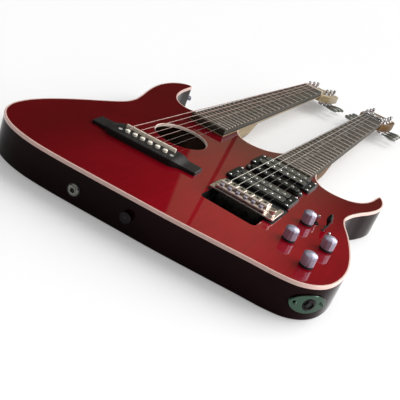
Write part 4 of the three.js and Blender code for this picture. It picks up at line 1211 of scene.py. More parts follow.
@dataclass
class Neck:
    """One neck with its fretboard, frets, nut, headstock, machine heads and strings."""

    name: str
    x: float
    nut_y: float
    board_z: float
    end_y: float
    pitch: float
    shelf: float
    nut_depth: float
    nut: NutKind
    diameters: tuple[float, ...]
    starts: list[list[Vector]]
    wound: Finish
    wound_slot: str
    # A black sheet under the fretboard: painted shade in place of the dark gap under the board
    shade_underlay: float
    wood: Timber = MAPLE
    string_span: tuple[float, float] | None = None
    board: float = 6.05
    nut_width: float = 43
    end_width: float = 57
    depth_at_nut: float = 14
    depth_at_heel: float = 17
    head_length: float = 150
    head_half: float = 35
    head_thickness: float = 15
    first_post: float = 44
    post_pitch: float = 36
    post_side: float = 21
    string_rise: float = 1.9
    string_spacing: float = 7.2
    heel_drop: float = 20.3
    heel_length: float = 248
    heel_slope: float = 46
    heel_power: float = 10
    shaft_power: float = 2.4
    throat: float = 12
    board_edge: float = 0.7
    wire_low: float = 5.4
    wire_crown: Flat = (1.2, 1.1)
    dots: tuple[int, ...] = (3, 5, 7, 9, 12, 15, 17, 19, 21, 24)
    nut_top: float = 7.6
    locking_base: float = 6.9
    clamp_half: float = 6.3
    clamp_span: Flat = (8.7, 12.6)
    bar_y: float = 10
    bar_side: float = 19
    plate_rise: float = 1.5
    plate_width: float = 16
    plate_margin: float = 12
    housing: Flat = (13, 15)
    housing_depth: float = 8.5
    shaft_drop: float = 4.25
    shaft_side: float = 6.8
    key_middle: float = 21.5
    key_size: Flat = (9.5, 7)
    key_half: float = 3.25
    key_pinch: float = 0.1
    head_edge: float = 1.6
    post_neck: float = 2.45
    thick_wraps: float = 2.6
    thin_wraps: float = 4.4
    thin_radius: float = 0.3
    wrap_top: float = 6.2
    wrap_low: float = 2.2

    @property
    def place(self) -> Matrix:
        """The neck's own frame, in the middle of the nut line under the fretboard."""
        return shift(self.x, self.nut_y, self.board_z)

    @property
    def head(self) -> Matrix:
        """The frame of the headstock's face."""
        return self.place @ shift(0, self.shelf) @ spin("X", -self.pitch)

    def half(self, distance: float) -> float:
        """Returns half the fretboard's width at a distance from the nut."""
        share = max(0.0, distance / (self.nut_y - self.end_y))
        return (self.nut_width + (self.end_width - self.nut_width) * share) / 2

    def post_y(self, rank: int) -> float:
        """Returns a post's distance along the headstock's face."""
        return self.first_post + rank * self.post_pitch - self.shelf

    def build(self) -> None:
        """Makes every piece of the neck."""
        self.build_wood()
        self.build_board()
        if self.nut is NutKind.BONE:
            self.build_bone_nut()
        else:
            self.build_locking_nut()
        for side in Side:
            self.build_machine_heads(side)
        for index in range(STRINGS):
            self.build_string(index)

    def profile(self, y: float, half: float, depth: float, power: float, top: float = 0) -> Ring:
        """Draws the neck's section, which is flat above and full below.

        Args:
            y: Where it lies along the neck.
            half: Half its width.
            depth: Its depth.
            power: How square its underside is.
            top: The height of its flat side.

        Returns:
            The section's ring.
        """
        ring, steps = [], 28
        for i in range(steps + 1):
            a = math.pi * i / steps
            across, down = math.cos(a), math.sin(a) if 0 < i < steps else 0.0
            x = half * math.copysign(abs(across) ** (2 / power), across)
            ring.append(Vector((x, y, top - depth * down ** (2 / power))))
        return ring

    def build_wood(self) -> None:
        """Makes the heel, the shaft and the headstock."""
        heel = self.board_z - self.heel_drop
        end, flat = self.nut_y - self.end_y, self.nut_y - self.heel_length
        slope, steps = flat - self.heel_slope, 12
        cuts = [(end + (flat - end) * share, heel, self.heel_power) for share in (0, 0.5, 1)]
        for i in range(1, steps + 1):
            ease = smoothstep(i / steps)
            cuts.append((flat + (slope - flat) * (i / steps), heel + (self.depth_at_heel - heel) * ease,
                         self.heel_power + (self.shaft_power - self.heel_power) * ease))
        for i in range(1, steps + 1):
            d = slope * (1 - i / steps)
            depth = self.depth_at_nut + (self.depth_at_heel - self.depth_at_nut) * d / slope
            cuts.append((d, depth, self.shaft_power))
        rings = [self.profile(-d, self.half(d), depth, power) for d, depth, power in cuts]
        rings.append(self.profile(self.shelf, self.half(0), self.depth_at_nut, self.shaft_power))
        drop = self.throat * math.tan(math.radians(self.pitch)) + 0.4
        end, half = self.shelf + self.throat, self.half(0) - 0.3
        rings.append(self.profile(end, half, self.depth_at_nut - 1, 3, -drop))
        wood = Shape(self.place).loft(rings)
        length = self.head_length - self.shelf
        treble = centripetal([(x * self.head_half, y * length) for x, y in HEAD_OUTLINE], 4)
        outline = treble + [(-x, y) for x, y in reversed(treble)]
        where = shift(0, self.shelf) @ spin("X", -self.pitch)
        wood.loft(slab(outline, -self.head_thickness, 0, self.head_edge, 4), place=where)
        wood.fit(f"{self.name}_neck_wood", [self.wood], "maple", nodes=[f"{self.name}_neck"], sharp=38)

    def fret_distance(self, number: int) -> float:
        """Returns a fret's distance from the nut."""
        return SCALE * (1 - 2 ** (-number / 12))

    def build_board(self) -> None:
        """Makes the fretboard with its dots, and the frets."""
        end, edge, low = self.nut_y - self.end_y, self.board_edge, 0.05
        board = Shape(self.place)
        rings = []
        for d, inward in ((end, 0.5), (end - 0.5, 0), (0, 0)):
            h, top = self.half(d) - inward, self.board - inward
            right = [(h, low), (h, top - edge), (h - edge * 0.3, top - edge * 0.3), (h - edge, top)]
            left = [(-x, z) for x, z in reversed(right)]
            rings.append([Vector((x, -d, z)) for x, z in right + left])
        board.loft(rings)
        for number in self.dots:
            y = -(self.fret_distance(number) + self.fret_distance(number - 1)) / 2
            for x in (-11, 11) if number % 12 == 0 else (0,):
                board.rod(2.8 if number < 20 else 2.4, 5, 6.1, 24, 1, shift(x, y))
            board.rod(1.2, -1, 0.06, 12, 1, shift(-self.half(-y), y, 3) @ spin("Y", -90))
        seat = [(-self.half(0), 0), (-self.half(end), -end), (self.half(end), -end), (self.half(0), 0)]
        # A black sheet under the board: painted shade in place of the dark gap between it and the top
        board.loft(slab(inset(seat, -0.06), -self.shade_underlay, low), 2)
        board.fit(f"{self.name}_board", [ROSEWOOD, WORN_PEARL, BLACK_PAINT_AND_SHADE],
                  "rosewood", nodes=[f"{self.name}_fretboard"])
        frets = Shape(self.place)
        low, (wide, tall) = self.wire_low, self.wire_crown
        arch = [math.pi * i / 8 for i in range(9)]
        crown = [(wide * math.cos(a), 6 + tall * math.sin(a) ** 0.8) for a in arch]
        section = [(wide, low), *crown, (-wide, low)]
        for number in range(1, FRETS + 1):
            d = self.fret_distance(number)
            h = self.half(d) - 0.3
            stations = [(-h, 0.35), (-h + 0.3, 0.75), (-h + 0.9, 1), (h - 0.9, 1), (h - 0.3, 0.75), (h, 0.35)]
            frets.loft([[Vector((x, y - d, low + (z - low) * (0.45 + 0.55 * s))) for y, z in section]
                        for x, s in stations])
        frets.fit(f"{self.name}_frets", [FRET_WIRE], "plain_steel", sharp=50)

    def build_bone_nut(self) -> None:
        """Makes the bone nut, whose slots hold the strings."""
        half = self.nut_width / 2
        nut = Shape(self.place)
        nut.box((-half, 0.3, 0.05), (half, self.nut_depth, self.nut_top), 0.8)
        nut.fit("bone_nut", [BONE], "bone", nodes=["acoustic_nut"])

    def build_locking_nut(self) -> None:
        """Makes the locking nut with its clamps, and the bar that holds the strings down behind it."""
        half, deep, clamp = self.nut_width / 2, self.nut_depth, self.clamp_half
        low, high = self.clamp_span
        nut = Shape(self.place)
        nut.box((-half, 0.3, 0.05), (half, deep, self.locking_base), 0.6)
        for i in (-1, 0, 1):
            x = i * 2 * self.string_spacing
            nut.box((x - clamp, 1.1, low), (x + clamp, deep - 1, high), 1)
            nut.rod(1.9, 6, 9, 12, 0, shift(x, deep / 2))
            nut.socket(3, 12, 13.5, 1.5, shift(x, deep / 2))
        nut.fit("locking_nut_clamps", [CHROME], "chrome_plate", nodes=["locking_nut"])
        bar = Shape(self.head)
        bar.tube([(x, self.bar_y, z) for x, z in ((-22, 9.6), (-21.2, 9.4), (21.2, 9.4), (22, 9.6))], 2, 16)
        for x in (-self.bar_side, self.bar_side):
            bar.rod(1.5, -1, 9, place=shift(x, self.bar_y))
            bar.screw(2.8, 1.4, shift(x, self.bar_y, 11))
        bar.fit("string_bar", [CHROME, BLACK_STEEL_AND_SHADE], "chrome_plate")

    def build_machine_heads(self, side: Side) -> None:
        """Makes one side's plate, housings, posts and buttons.

        Args:
            side: The side of the headstock.
        """
        name = f"{self.name}_{side.name.lower()}"
        x, face = side.value * self.post_side, -self.head_thickness - 0.3
        low = face - self.plate_rise
        strip = Shape(self.head)
        first, last = self.post_y(0), self.post_y(2)
        outline = rounded(self.plate_width, last - first + 2 * self.plate_margin, 3, (x, (first + last) / 2))
        strip.loft(slab(outline, low, face, 0.4))
        for rank in range(3):
            self.add_machine_head(strip, x, self.post_y(rank), low, side.value)
        for y in (first - 9.6, last + 9.6, first + 18, last - 18):
            strip.screw(2, 0.9, shift(x - side.value * 3, y, low) @ spin("X", 180))
        strip.fit(f"{name}_machine_heads", [CHROME, BLACK_STEEL_AND_SHADE],
                  "chrome_plate", nodes=[f"{name}_tuner_strip"])
        for rank in range(3):
            across = side.value * (self.post_side + self.shaft_side)
            place = self.head @ shift(across, self.post_y(rank), low - self.shaft_drop)
            button = self.button(place @ spin("Z", 0 if side is Side.TREBLE else 180))
            node = f"{name}_tuner_button_{rank + 1}"
            button.fit(f"{name}_key_{rank + 1}", [SMOKED_NICKEL], "chrome_plate", node, [node])

    def add_machine_head(self, strip: Shape, x: float, y: float, low: float, out: int) -> None:
        """Adds a gear housing and the post above it.

        Args:
            strip: The shape that they are added to.
            x: The post's place across the headstock.
            y: Its place along the headstock.
            low: The height of the plate's underside.
            out: Towards which side the button lies.
        """
        housing = rounded(*self.housing, 3.4, (x, y), 5)
        strip.loft(slab(housing, low - self.housing_depth, low + 0.3, 1.6, 4))
        collar = [(0, 0), (2.9, 0), (2.9, 1.4), (2.4, 2), (0, 2)]
        where = shift(x + out * 6.3, y, low - self.shaft_drop) @ spin("Y", 90 * out) @ shift(0, 0, -1.6)
        strip.turn(collar, 20, 0, where)
        post = [(0, low), (3, low), (3, 0.1), (5.4, 0.1), (5.4, 1), (4.6, 1.5), (3.6, 1.7), (3, 1.8), (3, 3),
                (2.5, 3.6), (2.35, 4.6), (2.5, 6.6), (3, 7.4), (3, 11), (2.6, 11.7), (1.8, 12), (0, 12)]
        strip.turn(post, 24, 0, shift(x, y))
        # A dark bar through the post: painted shade in place of its string hole
        strip.box((-3.05, -0.45, -0.7), (3.05, 0.45, 0.7), 0.1, 1, shift(x, y, 8.9) @ spin("Z", 24 * out))

    def button(self, place: Matrix) -> Shape:
        """Makes an oval key on its turned shaft.

        Args:
            place: The shaft's inner end, with X along it.

        Returns:
            The key.
        """
        key = Shape(place)
        shaft = [(0, 0), (2.2, 0), (2.2, 1.5), (1.6, 2), (1.6, 6), (2.2, 7), (3, 11), (3, 12.5), (0, 13)]
        key.turn(shaft, 20, 0, spin("Y", 90))
        outline, (long, wide) = [], self.key_size
        for a in full_turn(40):
            pinch = 1 - self.key_pinch * min(math.cos(a), 0) ** 2
            outline.append((self.key_middle + long * math.cos(a), wide * math.sin(a) * pinch))
        key.loft(slab(outline, -self.key_half, self.key_half, 2.6, 5))
        return key

    def build_string(self, index: int) -> None:
        """Makes a string from its bridge to its turns round the post.

        Args:
            index: The string, from the thick side.
        """
        radius = self.diameters[index] / 2
        side = Side.BASS if index < 3 else Side.TREBLE
        rank = index if index < 3 else 5 - index
        x, z = row_of_six(self.string_spacing)[index], self.board + self.string_rise
        path = list(self.starts[index])
        path += [self.place @ Vector(p) for p in ((x, -6, z), (x, 0, z), (x, self.nut_depth, z - 0.05))]
        reach, start = self.post_neck + radius, math.pi if side is Side.TREBLE else 0.0
        turns = self.thick_wraps if radius > self.thin_radius else self.thin_wraps
        steps = round(turns * 14)
        across, along = side.value * self.post_side, self.post_y(rank)
        for i in range(steps + 1):
            a = start - side.value * math.tau * turns * i / steps
            height = max(self.wrap_top - i / steps * turns * radius * 2.1, self.wrap_low)
            x, y = across + reach * math.cos(a), along + reach * math.sin(a)
            path.append(self.head @ Vector((x, y, height)))
        plain = index > (2 if self.nut is NutKind.LOCKING else 3)
        finish, slot = (PLAIN_WIRE, "plain_steel") if plain else (self.wound, self.wound_slot)
        number = 6 - index
        wire = Shape().tube(path, radius, 10)
        wire.fit(f"{self.name}_wire_{number}", [finish], slot, nodes=[f"{self.name}_string_{number}"],
                 sharp=70, span=self.string_span)


@dataclass
class Pickups:
    """The two double pickups in their rings, and the single one between them."""

    length: float = 69
    width: float = 37
    pole_spacing: float = 10.2
    ring_length: float = 90
    ring_width: float = 44
    ring_height: float = 3.6
    ring_gap: float = 1.6
    screw_side: float = 40.2
    single_length: float = 84
    single_width: float = 18
    single_rise: float = 6
    single_cap: Flat = (72, 16)
    single_screw: float = 38.6
    flange_drop: float = 3.4
    depth: float = 12
    coil_edge: float = 0.7
    face_inset: float = 1.1

    def build(self) -> None:
        """Makes the three pickups."""
        self.build_double("bridge_pickup", BRIDGE_PICKUP_Y, 4.2)
        self.build_double("neck_pickup", NECK_PICKUP_Y, 7.2)
        self.build_single(MIDDLE_PICKUP_Y)

    @staticmethod
    def add_pole(coils: Shape, low: float, rise: float, seat: Matrix) -> None:
        """Adds a round pole piece with a bevelled end, which stands out of the face at its rise."""
        coils.turn([(0, low), (2.4, low), (2.4, rise + 0.5), (2.1, rise + 0.8), (0, rise + 0.8)], 20, 1, seat)

    def build_double(self, name: str, y: float, rise: float) -> None:
        """Makes a double pickup with its ring and screws.

        Args:
            name: The pickup's node.
            y: Its place along the strings.
            rise: Its height above the top.
        """
        place = shift(ELECTRIC_X, y, DECK)
        half, deep = self.length / 2, self.width / 2
        coils = Shape(place)
        coils.box((-half, -deep, -self.depth), (half, deep, rise - self.flange_drop), 0.6)
        for row in Side:
            outline = rounded(self.length - 0.6, deep - 0.9, 3.2, (0, row.value * (deep / 2 + 0.3)), 5)
            coils.loft(slab(outline, rise - self.flange_drop - 0.2, rise, self.coil_edge))
            # The faces take the lighter grey: painted sheen where the light falls on them
            coils.loft(slab(inset(outline, self.face_inset), rise - 0.2, rise + 0.05, 0.02), 3)
            for x in row_of_six(self.pole_spacing):
                seat = shift(x, row.value * deep / 2)
                if row is Side.BASS:
                    coils.screw(2.4, 0.8, seat @ shift(0, 0, rise), (1, 2))
                else:
                    self.add_pole(coils, rise - 0.5, rise, seat)
        coils.fit(f"{name}_coils", [BLACK_ABS, CHROME, BLACK_STEEL_AND_SHADE, LIT_FACE_ABS],
                  "black_plastic", nodes=[name])
        ring = Shape(place)
        low, high = 0.1, self.ring_height + 0.1
        outer = rounded(self.ring_length, self.ring_width, 4)
        inner = rounded(self.length + self.ring_gap, self.width + self.ring_gap, 1.2)
        section = [(outer, 0, low), (outer, 0, high - 1.4), (outer, 0.5, high - 0.4), (outer, 1.4, high),
                   (inner, -0.4, high), (inner, 0, high - 0.4), (inner, 0, low)]
        ring.loft([lift(inset(outline, inward), z) for outline, inward, z in section], loop=True)
        for x in (-self.screw_side, self.screw_side):
            for side in Side:
                ring.screw(2, 0.8, shift(x, side.value * 18, high), (1, 2))
            ring.screw(1.7, 0.9, shift(x * 0.955, 0, high), (1, 2))
        ring.fit(f"{name}_frame", [BLACK_ABS, CHROME, BLACK_STEEL_AND_SHADE],
                 "black_plastic", nodes=[f"{name}_ring"])

    def build_single(self, y: float) -> None:
        """Makes the single pickup.

        Args:
            y: Its place along the strings.
        """
        rise = self.single_rise
        single = Shape(shift(ELECTRIC_X, y, DECK))
        flange = rounded(self.single_length, self.single_width, 8.7, steps=10)
        single.loft(slab(flange, -self.depth, rise - 3, 0.4))
        single.loft(slab(rounded(*self.single_cap, 7.8, steps=10), rise - 3.2, rise, 1.2))
        for x in row_of_six(self.pole_spacing):
            self.add_pole(single, rise - 1, rise, shift(x))
        for x in (-self.single_screw, self.single_screw):
            single.screw(2, 0.9, shift(x, 0, rise - 3), (1, 2))
        single.fit("middle_pickup_cover", [BLACK_ABS, CHROME, BLACK_STEEL_AND_SHADE],
                   "black_plastic", nodes=["middle_pickup"])


@dataclass
class TremoloBridge:
    """The rocking bridge of the electric strings, on its two studs."""

    pitch: float = 10.5
    saddle_width: float = 9.9
    saddle_length: float = 25
    plate_low: float = 2.2
    plate_high: float = 4.8
    bar_height: float = 5
    rear: float = -31
    stud_side: float = 33.5
    block_low: Direction = (-29, -22, -35)
    block_high: Direction = (29, -8, 2.4)
    bar: Flat = (66, 5)
    arm_seat: Flat = (39.5, -22)
    lock_y: float = -14
    stud_y: float = 3.4
    spring_turns: int = 26
    spring_pitch: float = 19
    spring_radius: float = 3
    spring_length: float = 92
    wire_radius: float = 0.6
    claw_low: Direction = (-28, 100, -4.5)
    claw_high: Direction = (28, 103, 4.5)

    @property
    def place(self) -> Matrix:
        """A frame on the top, at the line where the strings leave the saddles."""
        return shift(ELECTRIC_X, 0, DECK)

    def build(self) -> None:
        """Makes the plate with its block, the saddles, the tuners and the studs."""
        high = self.plate_high
        plate = Shape(self.place)
        outline = [(-39, self.rear), (45, self.rear), (46, self.rear + 1), (46, 6), (45, 7.5), (40.5, 7.5),
                   (39.5, 6.5), (39.5, 0.6), (29, 0.6), (27.5, -1.5), (-27.5, -1.5), (-29, 0.6), (-39, 0.6)]
        plate.loft(slab(outline, self.plate_low, high, 0.5))
        plate.box(self.block_low, self.block_high, 0.8, 1)
        bar = rounded(*self.bar, 1.6, (0, self.rear + self.bar[1] / 2))
        plate.loft(slab(bar, high - 0.3, high + self.bar_height, 0.9))
        socket = [(0, -0.3), (4.6, -0.3), (4.6, 2), (3.9, 2.4), (3.9, 6.2), (4.4, 6.6), (4.4, 7.6), (4, 8),
                  (2.4, 8), (2.4, 4), (0, 4)]
        plate.turn(socket, 32, 0, shift(*self.arm_seat, high))
        for x in (-self.stud_side, self.stud_side):
            plate.rod(2.6, high - 0.2, high + 0.4, 6, 0, shift(x, self.lock_y))
        plate.fit("tremolo_plate", [SADDLE_STEEL, NICKEL], "chrome_plate", TREMOLO, ["tremolo_unit"])
        saddles, tuners = Shape(self.place), Shape(self.place)
        for x in row_of_six(self.pitch):
            self.add_saddle(saddles, x)
            self.add_tuner(tuners, x)
        saddles.fit("tremolo_saddles", [SADDLE_STEEL, BLACK_STEEL_AND_SHADE], "chrome_plate", TREMOLO, sharp=28)
        tuners.fit("tremolo_fine_tuners", [SATIN_CHROME, BLACK_STEEL_AND_SHADE], "chrome_plate", TREMOLO, sharp=28)
        studs = Shape(self.place)
        stud = [(0, -1), (5.2, -1), (5.2, 0.3), (4.6, 0.7), (3.4, 0.7), (3.4, 1.3), (0, 1.3)]
        for x in (-self.stud_side, self.stud_side):
            studs.turn(stud, 32, 0, shift(x, self.stud_y))
            studs.socket(3.1, 1, 2.1, 1.5, shift(x, self.stud_y + 0.2))
        studs.fit("tremolo_studs", [CHROME], "chrome_plate")

    def add_saddle(self, saddles: Shape, x: float) -> None:
        """Adds a saddle: a rear block that clamps the string, and a ramp down to its front.

        Args:
            saddles: The shape that it is added to.
            x: Its distance from the middle.
        """
        z, w = self.plate_high, self.saddle_width / 2
        side = [(-21, 0), (-0.3, 0), (-0.3, 3), (-0.9, 4), (-2.6, 4.2), (-8, 3.4), (-10.4, 4.4), (-11.2, 7.6),
                (-12, 8.4), (-20, 8.4), (-21, 7.2)]
        stations = [(-w, 0.5), (-w + 0.5, 0), (w - 0.5, 0), (w, 0.5)]
        rings = [[Vector((across, y, h)) for y, h in inset(side, inward)] for across, inward in stations]
        saddles.loft(rings, place=shift(x, 0, z))
        saddles.socket(2.5, 1, z + 5.6, 1.3, shift(x, -6.2))
        # A dark bar on the saddle's top: painted shade in place of the hollow there
        saddles.box((x - 1.6, -18.8, z + 8), (x + 1.6, -13.2, z + 8.45), 0.1, 1)
        screw = [(0, 0), (1.9, 0), (1.9, 4.2), (1.5, 4.8), (0, 4.8)]
        saddles.turn(screw, 16, 0, shift(x, -20.7, z + 4.2) @ spin("X", 90))

    def add_tuner(self, tuners: Shape, x: float) -> None:
        """Adds a fine tuner with a fluted rim.

        Args:
            tuners: The shape that it is added to.
            x: Its distance from the middle.
        """
        low = self.plate_high + self.bar_height - 0.2
        profile = ((2, 0), (2, 0.6), (2.6, 0.9), (2.6, 2.8), (2.2, 3.2), (POLE_RADIUS, 3.3))
        flutes = [(0.16 if r > 2.5 else 0, r, z) for r, z in profile]
        rings = [polar([r - flute * (k % 4 < 2) for k in range(48)], z) for flute, r, z in flutes]
        tuners.loft(rings, place=shift(x, self.rear + self.bar[1] / 2, low))

    def string_start(self, index: int) -> list[Vector]:
        """Finds where a string leaves its saddle.

        Args:
            index: The string, from the thick side.

        Returns:
            The string's first points, from inside its saddle over the saddle's front.
        """
        x = row_of_six(self.pitch)[index]
        points = [(-11, 8.9), (-3, 9.05), (-0.3, 9.15), (4, 9.15), (9, 9.14), (14, 9.13), (20, 9.12)]
        return [self.place @ Vector((x, y, z)) for y, z in points]

    def build_springs(self) -> None:
        """Makes the coil springs and the claw behind the back cover."""
        springs = Shape(shift(ELECTRIC_X, 0, 11))
        springs.box(self.claw_low, self.claw_high, 0.8)
        steps, r = self.spring_turns * 12, self.spring_radius
        coil = [(r * math.cos(a), -1 + k / steps * self.spring_length, r * math.sin(a))
                for k, a in ((k, math.tau * k / 12) for k in range(steps + 1))]
        path = [(0, -7.7, 0), (0.5, -4, 0), *coil, (0.5, 95, 0), (0, 100.5, 0)]
        for i in (-1, 0, 1):
            springs.tube([(x + i * self.spring_pitch, y, z) for x, y, z in path], self.wire_radius, 6)
        for x in (-9.5, 9.5):
            springs.rod(2, 0, 18, place=shift(x, 99.7) @ spin("X", -90))
        springs.fit("tremolo_coils", [NICKEL],
                    "plain_steel", nodes=["tremolo_springs"], span=(-4, 96), sharp=50)


@dataclass
class Controls:
    """The knobs, the two toggles and the selector on the top."""

    knob_radius: float = 8
    knob_height: float = 16.2
    knob_faces: int = 12
    knobs: dict[str, Flat] = field(default_factory=lambda: {
        "volume_knob": (141, 19), "tone_knob": (141, -44), "blend_knob": (179, -18),
        "acoustic_volume_knob": (175, -78)})
    toggles: dict[str, Flat] = field(default_factory=lambda: {
        "split_toggle": (149, 33.28), "output_toggle": (172.5, 1.78)})
    selector: Flat = (161, 42)
    toggle_lean: float = 9
    toggle_rise: float = 1.6
    selector_lean: float = 10
    selector_rise: float = 1.8
    selector_screw: float = 17

    def build(self) -> None:
        """Makes every control."""
        for name, place in self.knobs.items():
            self.build_knob(name, place)
        for name, place in self.toggles.items():
            self.build_toggle(name, place)
        self.build_selector()

    def build_knob(self, name: str, place: Flat) -> None:
        """Makes a domed metal knob with flat faces round its side, over a black felt washer that also stands
        in for the shade under it.

        Args:
            name: The knob's node.
            place: Where it stands.
        """
        r, h = self.knob_radius, self.knob_height
        profile = [(POLE_RADIUS, 1.8, 0), (r - 0.5, 1.8, 1), (r, 2.3, 1), (r, h - 2.9, 1),
                   (r - 0.3, h - 2.3, 0.95), (r - 1, h - 1.7, 0.8), (r * 0.7, h - 0.9, 0.3),
                   (r * 0.45, h - 0.3, 0), (r * 0.2, h, 0), (POLE_RADIUS, h, 0)]
        face = math.tau / self.knob_faces
        flats = [math.cos(face / 2) / math.cos(a % face - face / 2) for a in full_turn(96)]
        rings = [polar([radius * (1 - share * (1 - flat)) for flat in flats], z)
                 for radius, z, share in profile]
        knob = Shape(shift(*place, TOP + 0.6)).loft(rings)
        knob.box((-0.45, r - 2.6, h - 2.2), (0.45, r - 1.4, h - 1), 0.1, 1)
        knob.fit(f"{name}_dome", [SATIN_CHROME, BLACK_STEEL_AND_SHADE], "chrome_plate", name, [name], sharp=24)
        felt = [(0, -0.1), (7.5, -0.1), (7.8, 0.2), (7.8, 2.1), (7.6, 2.3), (0, 2.3)]
        washer = Shape(shift(*place, TOP)).turn(felt, 48)
        washer.fit(f"{name}_felt", [FELT_AND_SHADE], "black_plastic")

    def build_toggle(self, name: str, place: Flat) -> None:
        """Makes a small toggle: its lever, and the nut round it.

        Args:
            name: The toggle's node.
            place: Where its lever turns.
        """
        lever = Shape(shift(*place, TOP + self.toggle_rise) @ spin("X", self.toggle_lean))
        bat = [(0, -1.2), (0.8, -0.9), (1.2, 0), (1.15, 3), (1.9, 8.6), (1.8, 10), (1.2, 10.8), (0, 11)]
        lever.turn(bat, 24)
        lever.fit(f"{name}_lever", [CHROME], "chrome_plate", name, [name])
        collar = Shape(shift(*place, TOP)).nut((3.6, 3.3, 2.4), -0.1, 1.2)
        collar.rod(4, -0.1, 0.25, 32)
        collar.fit(f"{name}_nut", [BLACK_CHROME], "chrome_plate")

    def build_selector(self) -> None:
        """Makes the selector: a flat black slot with two screws, and the lever with its black tip."""
        lever = Shape(shift(*self.selector, TOP + self.selector_rise) @ spin("X", self.selector_lean))
        lever.turn([(0, -1.4), (1, -1), (1.4, 0), (1.4, 4), (0, 4)], 20, 1)
        tip = [(POLE_RADIUS, 2.4), (1.9, 2.5), (2.9, 3.4), (4.1, 6.2), (4.4, 8.4), (4, 11.4), (2.8, 14.2),
               (1.3, 16), (POLE_RADIUS, 16.4)]
        lever.loft([[Vector((r * 0.8 * math.cos(a), r * math.sin(a), z)) for a in full_turn(32)]
                    for r, z in tip])
        lever.fit("selector_blade_and_tip", [BLACK_ABS, BLACK_CHROME],
                  "black_plastic", "selector_lever", ["selector_lever"])
        slot = Shape(shift(*self.selector, TOP))
        # The slot is a flat black shape: painted shade in place of the opening
        slot.loft(slab(rounded(3.2, 22, 1.5), -0.2, 0.06))
        for y in (-self.selector_screw, self.selector_screw):
            slot.screw(2.4, 1, shift(0, y), (1, 2))
        slot.fit("selector_slot", [BLACK_PAINT_AND_SHADE, BLACK_CHROME, BLACK_STEEL_AND_SHADE], "black_plastic")


